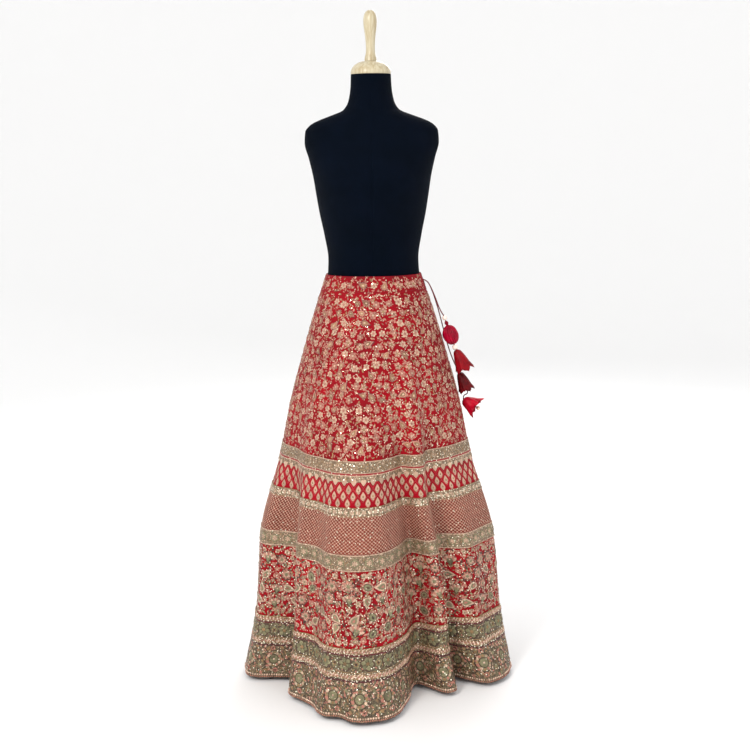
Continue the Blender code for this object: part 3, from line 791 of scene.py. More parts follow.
def pearl(name, centre, radius, material, finish):
    """A drilled pearl, a little dimpled where the cord goes through."""
    steps = np.linspace(0, math.pi, PEARL_STEPS)
    dimpled = radius * (1 - PEARL_DIMPLE * np.exp(-(np.sin(steps) / 0.22) ** 2))
    profile = np.stack([dimpled * np.sin(steps), dimpled * np.cos(steps)], axis=1)
    return on_part(turned_piece(name + "_drilled", profile, PEARL_SIDES, material, centre), finish, name)


def pompom(material):
    """A ball of gathered fabric, pulled together at both ends, with uneven tucks."""
    down = np.linspace(0, 1, POMPOM_ROWS)
    neck = POMPOM_NECK + 0.0022 * np.exp(-((down - 0.10) / 0.05) ** 2)
    ball = POMPOM_RADIUS * 0.97 * np.sqrt(np.clip(1 - ((down - 0.60) / 0.405) ** 2, 0, 1))
    radius = np.maximum(neck * (down < 0.5), ball)
    angles = np.arange(POMPOM_SIDES) / POMPOM_SIDES * math.tau
    gathers = np.zeros(len(angles))
    for place in np.cumsum(RANDOM.uniform(0.28, 0.56, POMPOM_TUCKS)):
        away = np.abs(np.angle(np.exp(1j * (angles - place))))
        gathers += RANDOM.uniform(0.6, 1.1) * np.exp(-(away / 0.085) ** 2)
    deep = 0.07 + 0.24 * np.clip(np.abs(down - 0.58) / 0.42, 0, 1) ** 1.5
    twist = 0.5 * np.sin(down * 2.6)
    rings = []
    for row in range(1, len(down) - 1):
        tuck = np.interp(angles + twist[row], angles, gathers, period=math.tau)
        pulled = radius[row] * (1 - deep[row] * tuck) * (1 + 0.03 * np.sin(3 * angles + 9 * down[row]))
        height = np.full(len(angles), -down[row] * POMPOM_LENGTH)
        rings.append(np.stack([pulled * np.cos(angles), pulled * np.sin(angles), height], axis=1))
    rings = np.array(rings)
    around = np.arctan2(rings[..., 1], rings[..., 0]) * POMPOM_RADIUS
    obj = ringed("pompom_gathered", rings, (0.0, -POMPOM_LENGTH), around, material, *POMPOM_TOP)
    on_part(obj, "maroon_silk", "pompom")
    return obj


def petal(middle, half, length, mouth, flare, layer, phase):
    """How far round, out and down a petal's outer face lies, on a grid down it and across."""
    u, v = np.linspace(-1, 1, PETAL_COLUMNS), np.linspace(0, 1, PETAL_ROWS)[:, None]
    width = np.clip(1.15 * np.sqrt(np.clip(1 - v ** 3.4, 0, 1)), 0.0, 1.0)
    out = PETAL_THROAT + (mouth - PETAL_THROAT) * (0.80 * v ** 0.45 + 0.20 * v ** flare) + 0.0011 * layer
    out = out * (1 + 0.10 * np.cos(math.pi * u) * v) + 0.0010 * v * np.sin(5 * u + phase + 7 * v)
    height = -length * (v - 0.10 * flare / 3 * v ** 6 * np.abs(u))
    return middle + half * u * width, np.minimum(out, mouth * 1.06), height


def petals(name, top, size, count, flare, material, front_cut=0.0):
    """Overlapping petals of folded satin, sewn together at the neck and turned out at their points."""
    length, mouth = size
    points, triangles, uv, area = [], [], [], 0.0
    cells = PETAL_ROWS * PETAL_COLUMNS
    for layer, (reach, shift) in enumerate(((0.90, 0.5), (1.0, 0.0))):
        for k in range(count):
            middle = math.tau * (k + shift) / count + RANDOM.uniform(-0.06, 0.06)
            long = length * reach * RANDOM.uniform(0.95, 1.0) * (1 - front_cut * max(0.0, -math.sin(middle)))
            angle, out, height = petal(middle, 1.35 * math.pi / count, long, mouth, flare, layer, 3 * k)
            outer, inner = (
                np.stack([far * np.cos(angle), far * np.sin(angle), height], -1)
                for far in (out, out - PETAL_WALL)
            )
            triangles.append(wall_triangles(PETAL_ROWS, PETAL_COLUMNS, len(points) * cells))
            points += [outer.reshape(-1, 3), inner.reshape(-1, 3)]
            uv += [np.stack([(angle - middle) * mouth, height], -1).reshape(-1, 2)] * 2
            sides = walked(outer, 1)[:, -1]
            area += float((sides[:-1] + sides[1:]).sum() / 2 * long / (PETAL_ROWS - 1))
    placed = leaned(np.concatenate(points), top[1]) + np.array(top[0])
    obj = mesh_object(name, placed, np.concatenate(triangles), [material], None, np.concatenate(uv), CRISP)
    on_part(obj, "maroon_silk", "petal_" + name)
    return obj


def drawstring():
    """The front end carries two pearls, a pompom and a bell, and the rear one a bell and a flower."""
    cord = twisted_cord()
    heart = below(FLOWER_TOP, FLOWER_BEAD_OFFSET)
    front, front_length = cord_curve("drawstring_front", [
        *FRONT_CORD_ROUTE, FRONT_PEARL, POMPOM_TOP[0], below(POMPOM_TOP, POMPOM_LENGTH / 2),
        below(POMPOM_TOP, POMPOM_LENGTH), LARGE_PEARL, UPPER_BELL_TOP[0], below(UPPER_BELL_TOP, TUCKED),
    ], cord, FRONT_CORD_POINTS, "cord_front")
    rear, rear_length = cord_curve("drawstring_rear", [
        *REAR_CORD_ROUTE, LOWER_BELL_TOP[0], below(LOWER_BELL_TOP, LOWER_BELL_SIZE[0] / 2), *TAIL_CORD_ROUTE,
        FLOWER_TOP[0], below(FLOWER_TOP, FLOWER_BEAD_OFFSET / 2), heart,
    ], cord, REAR_CORD_POINTS, "cord_rear", "cord_tail")
    lustre = pearl_look()
    ruby = satin("satin_ruby", rgb(196, 4, 40), rgb(132, 2, 24))
    red = satin("satin_red", rgb(150, 2, 20), rgb(96, 1, 10))
    dark = satin("satin_dark_maroon", rgb(104, 1, 10), rgb(58, 1, 6))
    gilt = bead("gilt_bead", rgb(206, 170, 130), rgb(250, 230, 206), 0.2, 0.5)
    on_front = [
        pearl("pearl_upper", FRONT_PEARL, FRONT_PEARL_RADIUS, lustre, "pearl"),
        pompom(satin("satin_magenta", rgb(176, 2, 46), rgb(104, 1, 24))),
        pearl("pearl_lower", LARGE_PEARL, LARGE_PEARL_RADIUS, lustre, "pearl"),
        petals("bell_upper", UPPER_BELL_TOP, UPPER_BELL_SIZE, 5, 2.2, red),
    ]
    on_rear = [
        petals("bell_lower", LOWER_BELL_TOP, LOWER_BELL_SIZE, 5, 2.0, dark),
        petals("flower", FLOWER_TOP, FLOWER_SIZE, 6, 3.0, ruby, FLOWER_FRONT_CUT),
        pearl("flower_bead", heart, FLOWER_BEAD_RADIUS, gilt, "gilt"),
    ]


# ---------------------------------------------------------------- the skirt's cloth

PANEL_ROW_PITCH = 0.015
BAND_ROW_PITCH = 0.006
WAISTBAND_ROWS = 10
CRISP = 60.0               # edges that turn by more degrees than this stay crisp
SEAM_GAPS = (GAP / 2, GAP / 2)


def sheet(name, node, finish, cloth, rows, seams, walls, looks, zones=0, gaps=SEAM_GAPS):
    """A closed shell of cloth between two seams and two walls of the form.

    Its front takes a look for each row from zones, and its back and edges take the last look.
    """
    columns = np.arange(seams[0], seams[1] + 1, dtype=float)
    height, width = len(rows), len(columns)
    grid = np.tile(columns, (height, 1))
    step = np.interp(rows, np.arange(len(cloth.z)), cloth.girth) / cloth.columns
    grid[:, 0] += gaps[0] / step
    grid[:, -1] -= gaps[1] / step
    at_rows = np.repeat(rows, width)
    back, front, face = (
        cloth.on_grid(at_rows, grid.ravel(), np.full(grid.size, wall)) for wall in (*walls, 0.0)
    )
    face = face.reshape(height, width, 3)
    down, across = walked(face), walked(face, 1)
    start = np.interp(columns[0] % cloth.columns, np.arange(cloth.columns), cloth.round[-1, :-1])
    uv = np.stack([across + start, -down], axis=-1).reshape(-1, 2)
    triangles = wall_triangles(height, width)
    slots = np.full(len(triangles), len(looks) - 1)
    front_slots = np.tile(np.repeat(np.broadcast_to(zones, height - 1), width - 1), 2)
    slots[:len(front_slots)] = front_slots
    points = np.concatenate([front, back])
    obj = mesh_object(name, points, triangles, looks, slots, np.concatenate([uv, uv]), CRISP)
    on_part(obj, finish, node)


def rows_between(top, bottom, pitch):
    """Rows of the skirt's form from one height down to another, about this far apart."""
    count = max(2, round((top - bottom) / pitch) + 1)
    return np.linspace(float(CLOTH.row_of(top)), float(CLOTH.row_of(bottom)), count)


def panels():
    """The ten flared panels, each a shell of silk with a ground for each zone of embroidery."""
    rows = rows_between(PANEL_TOP_Z, HEM_Z, PANEL_ROW_PITCH)
    heights = np.interp(rows, np.arange(ROWS), CLOTH.z)
    middles = (heights[:-1] + heights[1:]) / 2
    zones = [next(i for i, (low, _) in enumerate(ZONES) if z > low) for z in middles]
    looks = [ground for _, ground in ZONES] + [LINING]
    for number, seams in enumerate(zip(SEAMS, SEAMS[1:]), start=1):
        sheet(
            f"kali_{number:02d}", f"panel_{number:02d}", "red_zari_silk", CLOTH, rows,
            seams, (-PANEL_WALL, 0.0), looks, zones,
        )


def bands():
    """The gold bands and the deep hem border, each in two halves laid on the panels."""
    for node, (top, bottom) in BANDS.items():
        cloth = BORDER_CLOTH if node == "hem_border" else BAND_CLOTH
        rows = rows_between(top, bottom, BAND_ROW_PITCH)
        for half, seams in HALVES.items():
            sheet(
                f"{node}_{half}_laid", f"{node}_{half}", "gold_zari", CLOTH,
                rows, seams, (GAP, GAP + BAND_WALL), [cloth],
            )


def waistband():
    """The two halves of the waistband, which leave a slit at the left side for the drawstring."""
    rows = np.linspace(0, CASING_ROWS - 1, WAISTBAND_ROWS)
    slits = {"back": (SLIT_HALF, GAP / 2), "front": (GAP / 2, SLIT_HALF)}
    for half, seams in HALVES.items():
        sheet(
            f"waistband_{half}_casing", f"waistband_{half}", "red_zari_silk",
            CASING, rows, seams, (CASING_PROUD - CASING_WALL, CASING_PROUD), [ZONES[0][1]], 0, slits[half],
        )


# ---------------------------------------------------------------- outlines of stitches, across and up

LOWEST_LIFT = 0.0003


def turned(points, degrees):
    angle = math.radians(degrees)
    x, y = np.asarray(points, float).T
    return np.stack([x * math.cos(angle) - y * math.sin(angle), x * math.sin(angle) + y * math.cos(angle)], 1)


def oval(width, height=None, sides=8):
    angles = np.arange(sides) / sides * math.tau
    return np.stack([width / 2 * np.cos(angles), (height or width) / 2 * np.sin(angles)], 1)


def leaf(length, width, curl=0.0, points=8, fullest=0.8):
    """A leaf's outline from its stem up to its tip, bent over by a share of its length."""
    up = np.linspace(0, 1, points // 2 + 1)
    wide = np.clip(np.sin(np.pi * up ** fullest), 0, 1) ** 0.8 * width / 2
    bend = curl * length * up ** 2
    left = np.stack([bend - wide, up * length], 1)
    return np.concatenate([np.stack([bend + wide, up * length], 1), left[::-1][1:-1]])


def drop(width, height, curl=0.0, points=12):
    """A drop's outline about its middle, with its point upwards, bent over by a share of its width."""
    angle = np.arange(points) / points * math.tau
    up = np.cos(angle)
    across = -np.sin(angle) * np.abs(np.sin(angle / 2)) ** 1.2 * width * 0.62
    return np.stack([across + curl * width * ((up + 1) / 2) ** 3, up * height / 2], 1)


class Motif:
    """A piece of embroidery drawn flat, across and up in metres, as domed patches and raised lines."""

    def __init__(self):
        self.points = []
        self.thread = []
        self.triangles = []
        self.slots = []

    def patch(self, outline, dome, kind, grain=0.0, base=LOWEST_LIFT, rings=1):
        """A patch inside an outline that runs anticlockwise, highest in its middle."""
        outline = np.asarray(outline, float)
        middle = outline.mean(axis=0)
        start, count = len(self.points), len(outline)
        for ring in range(rings, 0, -1):
            share = ring / rings
            lift = base + dome * (1 - share ** 2)
            self.points += [(x, y, lift) for x, y in middle + (outline - middle) * share]
        self.points.append((*middle, base + dome))
        for a in range(start, start + (rings - 1) * count):
            b = a + 1 if (a - start + 1) % count else a + 1 - count
            self.triangles += [(a, b, b + count), (a, b + count, a + count)]
        last = start + (rings - 1) * count
        self.triangles += [(last + i, last + (i + 1) % count, last + count) for i in range(count)]
        return self.finish(start, kind, grain)

    def line(self, route, width, height, kind, base=LOWEST_LIFT):
        """A raised line of stitches along these points."""
        route = np.asarray(route, float)
        along = np.gradient(route, axis=0)
        along /= np.linalg.norm(along, axis=1, keepdims=True)
        side = np.stack([along[:, 1], -along[:, 0]], 1) * width / 2
        start = len(self.points)
        for place, out in zip(route, side):
            self.points += [(*(place + out), base), (*place, base + height), (*(place - out), base)]
        for a in range(start, len(self.points) - 3):
            if (a - start) % 3 < 2:
                self.triangles += [(a, a + 3, a + 4), (a, a + 4, a + 1)]
        return self.finish(start, kind, 45.0)

    def finish(self, start, kind, grain):
        self.slots += [SLOT[kind]] * (len(self.triangles) - len(self.slots))
        self.thread += [tuple(p) for p in turned([p[:2] for p in self.points[start:]], grain)]
        return self

    def tilted(self, across, up):
        """The same motif with one side lifted, in metres of lift for each metre."""
        low = min(across * x + up * y for x, y, _ in self.points)
        self.points = [(x, y, z + across * x + up * y - low) for x, y, z in self.points]
        return self


# ---------------------------------------------------------------- motifs, small ones first

def bead_drop(size, height, kind="bead"):
    return Motif().patch(oval(size, sides=6), height, kind, rings=2)


def point(width, height, dome, kind, grain=0.0, points=10, rings=1):
    """A drop that hangs point downwards."""
    return Motif().patch(turned(drop(width, height, points=points), 180), dome, kind, grain, rings=rings)


def sequins(size):
    """Flat sequins, each kind sewn down a little askew."""
    return [
        Motif().patch(oval(size, sides=6), size * 0.06, "sequin", base=0.0006).tilted(
            0.22 * math.cos(turn), 0.22 * math.sin(turn)
        )
        for turn in (0.4, 1.7, 2.9, 4.0, 5.3)
    ]


def tiny_leaves(length, *kinds):
    return [Motif().patch(leaf(length, length * 0.46, 0.15, 6), 0.0007, kind, 30) for kind in kinds]


def blossom(radius, petal_count, petal_kind, heart_kind, edge_kind=None, inner_kind=None):
    """A round flower: petals about a raised heart, on an outline of darker thread."""
    motif = Motif()
    if edge_kind:
        angles = np.arange(petal_count * 4) / (petal_count * 4) * math.tau
        far = radius * (1.07 + 0.07 * np.cos(petal_count * angles - math.pi / 2 * petal_count))
        edge = np.stack([far * np.cos(angles), far * np.sin(angles)], 1)
        motif.patch(edge, 0.0002, edge_kind, rings=3, base=0.0002)
    base = 0.0006 if edge_kind else LOWEST_LIFT
    for i in range(petal_count):
        turn = 360 / petal_count * i
        shape = leaf(radius * 0.80, radius * 3.9 / petal_count, fullest=1.25) + (0, radius * 0.18)
        motif.patch(turned(shape, turn), radius * 0.10 + 0.0003, petal_kind, turn + 20, base)
        if inner_kind:
            shape = leaf(radius * 0.50, radius * 2.0 / petal_count) + (0, radius * 0.22)
            lift = base + radius * 0.07
            motif.patch(turned(shape, turn), radius * 0.06 + 0.0004, inner_kind, turn + 70, lift)
    return motif.patch(oval(radius * 0.56), radius * 0.13, heart_kind, base=base + 0.0005)


def sprig(length, kinds=("cream", "rose"), curl=0.25):
    """A curling stem with three leaves."""
    stem = arc(200, 80, length * 0.55, 5, (length * 0.52, 0.0))
    stem = stem - stem[0]
    motif = Motif().line(stem, length * 0.10, 0.0005, kinds[1])
    for i, (turn, joint) in enumerate(((-70, 2), (35, 3), (-15, 5))):
        shape = turned(leaf(length * 0.42, length * 0.20, curl), turn)
        motif.patch(shape + stem[joint], 0.0007, kinds[i % 2], turn)
    return motif


def carnation(size):
    """A fan-shaped flower that narrows down to its stem, with a toothed upper edge and a green-gold heart."""
    half = size / 2
    fan = np.array([
        (0.0, -0.95), (0.30, -0.45), (0.66, 0.10), (0.98, 0.56), (0.62, 0.70), (0.46, 0.94), (0.16, 0.80),
        (-0.16, 0.96), (-0.46, 0.78), (-0.62, 0.92), (-0.98, 0.52), (-0.66, 0.10), (-0.30, -0.45),
    ]) * half
    motif = Motif().patch(fan * 1.10, 0.0002, "brown", base=0.0002, rings=4)
    for i, (turn, long) in enumerate(
        ((-46, 0.95), (-30, 1.06), (-15, 1.02), (0, 1.10), (15, 1.02), (30, 1.06), (46, 0.95))
    ):
        shape = turned(leaf(half * long * 0.95, half * 0.42, fullest=1.4) + (0, half * 0.60), turn)
        motif.patch(shape + (0, -half * 0.62), 0.0010, ("cream", "rose")[i % 2], turn + 15, 0.0007, rings=2)
    heart = half * np.array([
        (0.0, -0.72), (0.52, 0.30), (0.26, 0.46), (0.0, 0.34), (-0.26, 0.46), (-0.52, 0.30),
    ])
    motif.patch(heart, 0.0012, "green_gold", 30, 0.0011, rings=3)
    motif.patch(oval(half * 0.28, sides=6) + (0, half * 0.16), 0.0010, "bead", base=0.0021)
    for sign in (-1, 1):
        calyx = turned(leaf(half * 0.62, half * 0.24, 0.2 * sign), 70 * sign) + (0, -half * 0.92)
        motif.patch(calyx, 0.0009, "gold", 40, 0.0006)
    return motif


def medallion(width, height):
    """An oval medallion: a rose outline, a ring of cream and rose petals and a green-gold heart."""
    motif = Motif().patch(oval(width * 1.08, height * 1.08, 14), 0.0002, "rose", base=0.0002, rings=4)
    motif.patch(oval(width * 0.76, height * 0.78, 12), 0.0002, "brown", 20, 0.0006, rings=3)
    for i in range(14):
        angle = math.tau * i / 14
        x, y = math.cos(angle) * width * 0.36, math.sin(angle) * height * 0.36
        turn = math.degrees(math.atan2(y / height, x / width)) - 90
        shape = turned(leaf(width * 0.19, width * 0.17, points=6, fullest=1.2), turn) + (x, y)
        motif.patch(shape, 0.0008, ("cream", "rose")[i % 2], turn + 25, 0.0006)
    motif.patch(oval(width * 0.64, height * 0.66, 12), 0.0006, "green_gold", 20, 0.0009, rings=3)
    return motif.patch(drop(width * 0.26, height * 0.34, points=8), 0.0008, "brown", 60, 0.0015, rings=2)


def paisley(width, height, *kinds):
    """A mango shape in four nested layers, with small petals round its back."""
    motif = Motif()
    for kind, wide, high, curl, points, low, dome, grain, base, rings in zip(
        kinds, (1.12, 0.92, 0.60, 0.28), (1.10, 0.92, 0.62, 0.30), (0.45, 0.40, 0.34, 0.2), (16, 16, 12, 8),
        (0.0, 0.0, 0.05, 0.12), (0.0002, 0.0005, 0.0006, 0.0007), (0, 20, 70, 45),
        (0.0002, 0.0005, 0.0010, 0.0016), (4, 3, 2, 1),
    ):
        shape = drop(width * wide, height * high, curl, points) + (0, -height * low)
        motif.patch(shape, dome, kind, grain, base, rings)
    for i in range(7):
        angle = math.radians(-200 + 36 * i)
        at = (math.cos(angle) * width * 0.50, math.sin(angle) * width * 0.50 - height * 0.16)
        motif.patch(oval(width * 0.16, sides=6) + at, 0.0008, "rose", 0, 0.0005)
    return motif


def booti(width, height):
    """A small pointed sprig: a drop of cream thread edged in rose, on a stem with two leaves."""
    motif = Motif().patch(drop(width * 1.30, height * 0.90), 0.0003, "rose", 65, rings=2)
    motif.patch(drop(width * 1.00, height * 0.72), 0.0007, "cream", 25, 0.0006, rings=2)
    motif.patch(drop(width * 0.42, height * 0.30, points=8) + (0, -height * 0.06), 0.0006, "gold", 65, 0.0012)
    for sign in (-1, 1):
        shape = turned(leaf(width * 0.40, width * 0.20), 58 * sign) + (0, -height * 0.48)
        motif.patch(shape, 0.0006, "cream", 50, 0.0005)
    return motif.line([(0, -height * 0.40), (0, -height * 0.56)], width * 0.12, 0.0005, "cream")


def roundel(radius):
    """A wheel of petals between fine dark rings, with a green-gold flower in its middle."""
    motif = Motif().patch(oval(radius * 2.0, sides=20), 0.0003, "green_gold", base=0.0002, rings=4)
    motif.line(arc(0, 360, radius * 1.00, 24), radius * 0.11, 0.0007, "brown", 0.0004)
    for i in range(12):
        shape = leaf(radius * 0.34, radius * 0.36, points=6, fullest=1.2) + (0, radius * 0.58)
        motif.patch(turned(shape, 30 * i), 0.0009, ("gold", "rose", "cream")[i % 3], 30 * i + 30, 0.0007)
    motif.line(arc(0, 360, radius * 0.54, 16), radius * 0.10, 0.0007, "brown", 0.0008)
    for i in range(6):
        shape = leaf(radius * 0.38, radius * 0.34, points=6, fullest=1.2) + (0, radius * 0.10)
        motif.patch(turned(shape, 60 * i), 0.0010, "green_gold", 60 * i + 20, 0.0008)
    return motif.patch(oval(radius * 0.22), 0.0012, "bead", base=0.0014)


def scroll(length):
    """A curling leaf spray that fills the space between two roundels."""
    motif = Motif()
    for sign in (-1, 1):
        middle = (0, sign * length * 0.25)
        motif.line(arc(-90, 120, length * 0.25, 8, middle), length * 0.050, 0.0006, "brown")
        for i in range(7):
            angle = -80 + 34 * i
            at = arc(angle, angle, length * 0.25, 1, middle)[0]
            shape = turned(leaf(length * 0.19, length * 0.10, 0.3, 6), angle - 90 + 38)
            motif.patch(shape + at, 0.0010, ("rose", "gold", "rose")[(i + (sign > 0)) % 3], angle, 0.0004)
        motif.patch(oval(length * 0.13) + middle, 0.0012, "green_gold", base=0.0004)
    return motif


# ---------------------------------------------------------------- motifs laid on the cloth

def clear_of(places, others, distance, form=CLOTH):
    """The places that lie at least this far from all the others."""
    level, share = places
    girth = np.interp(-level, -form.z, form.girth)
    keep = []
    for part in np.array_split(np.arange(len(level)), len(level) // 800 + 1):
        away = share[part][:, None] - others[1][None]
        away = (away - np.round(away)) * girth[part][:, None]
        keep.append((np.hypot(away, level[part][:, None] - others[0][None]) > distance).all(axis=1))
    keep = np.concatenate(keep)
    return level[keep], share[keep]


class Embroidery:
    """Many copies of motifs laid on the cloth and gathered into one piece."""

    def __init__(self, form=CLOTH, lift=0.0):
        self.form = form
        self.lift = lift
        self.parts = []
        self.count = 0

    def add(self, motif, level, share, turn=0.0, size=1.0):
        """A copy of the motif at each height and share of the way round, turned by degrees and scaled."""
        level, share, turn, size = (
            np.array(a, float).ravel() for a in np.broadcast_arrays(np.atleast_1d(level), share, turn, size)
        )
        flat = np.array(motif.points)
        count = len(flat)
        angle = np.radians(turn)[:, None]
        across = size[:, None] * (flat[:, 0] * np.cos(angle) - flat[:, 1] * np.sin(angle))
        up = size[:, None] * (flat[:, 0] * np.sin(angle) + flat[:, 1] * np.cos(angle))
        lift = (flat[:, 2] * size[:, None] + self.lift).ravel()
        level, share = np.repeat(level, count), np.repeat(share, count)
        self.keep(self.form.at(level, share, across.ravel(), -up.ravel(), lift), motif)

    def keep(self, places, motif):
        """Takes in copies of a motif with all their points in place."""
        points = len(motif.points)
        copies = len(places) // points
        offsets = self.count + points * np.arange(copies)
        triangles = (np.array(motif.triangles)[None] + offsets[:, None, None]).reshape(-1, 3)
        slots, thread = np.tile(motif.slots, copies), np.tile(motif.thread, (copies, 1))
        self.parts.append((places, triangles, slots, thread))
        self.count += len(places)

    def scattered(self, top, bottom, pitch, jitter=0.26):
        """Places about a pitch apart, in uneven rows, all over the cloth between these heights."""
        rows = max(1, round((top - bottom) / (pitch * 0.87)))
        found, shares = [], []
        for row in range(rows):
            z = top - (row + 0.5) * (top - bottom) / rows
            count = round(self.form.girth_at(z) / pitch)
            shift = RANDOM.uniform(-jitter, jitter, (2, count))
            found.append(z + shift[0] * pitch * min(1.0, rows - 1))
            shares.append(np.mod((np.arange(count) + 0.5 * (row % 2) + shift[1]) / count, 1.0))
        return np.concatenate(found), np.concatenate(shares)

    def clear(self, places, taken):
        """The places that keep this far from each of the others."""
        for others, distance in taken:
            places = clear_of(places, others, distance, self.form)
        return places

    def strew(self, motifs, places, most=180.0, low=0.85, high=1.15):
        """Motifs dealt out at random to these places, turned by up to so many degrees and a little scaled."""
        dealt = RANDOM.integers(0, len(motifs), len(places[0]))
        for kind, (motif, swing) in enumerate(zip(motifs, np.broadcast_to(most, len(motifs)))):
            level, share = (place[dealt == kind] for place in places)
            turn = RANDOM.uniform(-swing, swing, len(level))
            self.add(motif, level, share, turn, RANDOM.uniform(low, high, len(level)))

    def sprinkle(self, top, bottom, pitch, size, taken=()):
        """Sequins all over a stripe, but for what is taken."""
        places = self.clear(self.scattered(top, bottom, pitch, 0.4), taken)
        self.strew(sequins(size), places, 180.0, 0.8, 1.25)

    def leafed(self, top, bottom, pitch, leaves, taken, gaps=None):
        """Leaf stitches close together, but for what is taken, with gaps where the ground shows."""
        places = self.clear(self.scattered(top, bottom, pitch, 0.35), taken)
        if gaps:
            places = self.clear(places, [(self.scattered(top, bottom, gaps[0], 0.4), gaps[1])])
        self.strew(leaves, places, 180.0, 0.8, 1.25)

    def row(self, motif, z, pitch, shift=0.0, like=None, turn=0.0, swing=None, size=None):
        """Copies about a pitch apart all the way round, as many as at the height like, and where they lie."""
        count = round(self.form.girth_at(like or z) / pitch)
        level, share = np.full(count, float(z)), np.mod((np.arange(count) + shift) / count, 1.0)
        turn = turn if swing is None else RANDOM.uniform(-swing, swing, count)
        self.add(motif, level, share, turn, 1.0 if size is None else RANDOM.uniform(*size, count))
        return level, share

    def ring(self, level, width, height, kind, waves=0, swing=0.0):
        """A raised line all the way round at one height, which may wave up and down."""
        columns = np.arange(0, self.form.columns + 1, dtype=float)
        count, row, girth = len(columns), self.form.row_of(level), self.form.girth_at(level)
        share = self.form.round[int(round(float(row)))] / girth
        per_row = (self.form.z[0] - self.form.z[-1]) / (len(self.form.z) - 1)
        shift = swing * np.cos(share * math.tau * waves) / per_row
        lines = [
            self.form.on_grid(
                row + offset / per_row + shift, columns, np.full(count, self.lift + LOWEST_LIFT + lift),
            )
            for offset, lift in ((width / 2, 0.0), (0.0, height), (-width / 2, 0.0))
        ]
        triangles = grid_triangles(3, count, self.count)
        thread = np.concatenate([
            np.stack([share * girth, np.full(count, across)], 1) for across in (0, width / 2, width)
        ])
        self.parts.append((np.concatenate(lines), triangles, np.full(len(triangles), SLOT[kind]), thread))
        self.count += 3 * count

    def made(self, name, finish="gold_zari"):
        points, triangles, slots, uv = (np.concatenate(part) for part in zip(*self.parts))
        return on_part(mesh_object(name, points, triangles, STITCHES.values(), slots, uv), finish)


# ---------------------------------------------------------------- embroidery, zone by zone

BOOTI_PITCH = 0.025
BOOTI_LEVELS = (0.5912, 0.5745, 0.5578)
LATTICE_PITCH = 0.0098
LATTICE_ROWS = 21
STRAND_HALF_WIDTH = 0.0016
RED_LINE_Z = 0.6266            # the red line in the upper gold band
FLORET_PITCH = 0.0150          # the small flowers on the middle gold band
ROPE_LEVELS = ((0.185, 0.1668), (0.1258, 0.103))
FLOWER_STRIPE = (0.1668, 0.1258)
ROUNDEL_STRIPE = (0.103, 0.0257)
FLOWER_PITCH = 0.058
ROUNDEL_PITCH = 0.074
HEM_BEADS = ((0.0200, 0.0066, 0.0058, 0.0022, "bead"), (0.0148, 0.0056, 0.0044, 0.0016, "rose"))
ON_BANDS = GAP + BAND_WALL
# How far apart motifs lie: on the vine, the floral stripe, the gold bands, the border and its ropes, and
# along the waistband
VINE_FLOWER_PITCH, VINE_SPRIG_PITCH, VINE_LEAF_PITCH = 0.0285, 0.0165, 0.0061
LARGE_FLOWER_PITCH, SMALL_FLOWER_PITCH, FLORAL_LEAF_PITCH = 0.047, 0.0190, 0.0056
BAND_LEAF_PITCH, LOWER_LEAF_PITCH, LARGE_FLORET_PITCH, LINE_BEAD_PITCH = 0.0072, 0.0075, 0.036, 0.0085
BORDER_LEAF_PITCH, ROPE_BEAD_PITCH, ROPE_ROW_STEP, STITCH_PITCH = 0.0064, 0.0094, 0.0040, 0.0042
WHEEL_SIDE = 0.0310            # how far above and below the wheels the small flowers lie


def vine(work, top, bottom, taken=()):
    """Roses, mangoes, sprigs and leaves all over, but for what is taken."""
    def kept(places, margin):
        return work.clear(places, [(others, distance + margin) for others, distance in taken])

    flowers = kept(work.scattered(top - 0.010, bottom + 0.008, VINE_FLOWER_PITCH, 0.22), 0.008)
    work.strew([
        blossom(0.0098, 6, "rose", "cream"), blossom(0.0092, 6, "cream", "rose"),
        blossom(0.0100, 5, "rose", "gold", None, "cream"),
        paisley(0.0170, 0.0230, "maroon", "rose", "gold", "cream"),
    ], flowers)
    sprigs = kept(work.clear(work.scattered(top, bottom, VINE_SPRIG_PITCH), [(flowers, 0.0125)]), 0.010)
    work.strew([
        sprig(0.0125), sprig(0.0115, ("rose", "rose"), -0.2), sprig(0.0130, ("rose", "cream")),
    ], sprigs)
    leaves = tiny_leaves(0.0077, "cream", "rose", "rose", "gold")
    others = [(flowers, 0.0102), (sprigs, 0.0050), *taken]
    work.leafed(top, bottom, VINE_LEAF_PITCH, leaves, others, (0.0155, 0.0048))
    work.sprinkle(top, bottom, 0.0165, 0.0027, taken)


def jaal():
    """The all-over vine on the upper skirt."""
    work = Embroidery()
    vine(work, PANEL_TOP_Z - 0.003, UPPER_BAND[0] + 0.004)
    work.made("embroidery_jaal")


def waistband_jaal():
    """The same vine on the waistband, clear of the slit for the drawstring."""
    work = Embroidery(CASING, CASING_PROUD)
    slit = (np.linspace(WAIST_Z, CASING_LOW_Z, 12), np.full(12, SLIT_SHARE))
    vine(work, WAIST_Z - 0.005, CASING_LOW_Z + 0.004, [(slit, SLIT_HALF + 0.008)])
    work.made("embroidery_waistband")


def sprig_band():
    """Three rows of bootis on the bright red stripe, in a raised red trellis."""
    work = Embroidery()
    middle, step = (UPPER_BAND[1] + MIDDLE_BAND[0]) / 2, BOOTI_LEVELS[0] - BOOTI_LEVELS[1]
    for row, z in enumerate(BOOTI_LEVELS):
        places = work.row(booti(0.0122, 0.0235), z, BOOTI_PITCH, 0.5 * (row % 2), middle, size=(0.95, 1.05))
        for sign in (-1, 1):
            route = [(0, step), (sign * 0.0068, step * 0.52), (sign * 0.0125, 0)]
            work.add(Motif().line(route, 0.0024, 0.0007, "red"), *places)
    work.made("embroidery_sprigs")


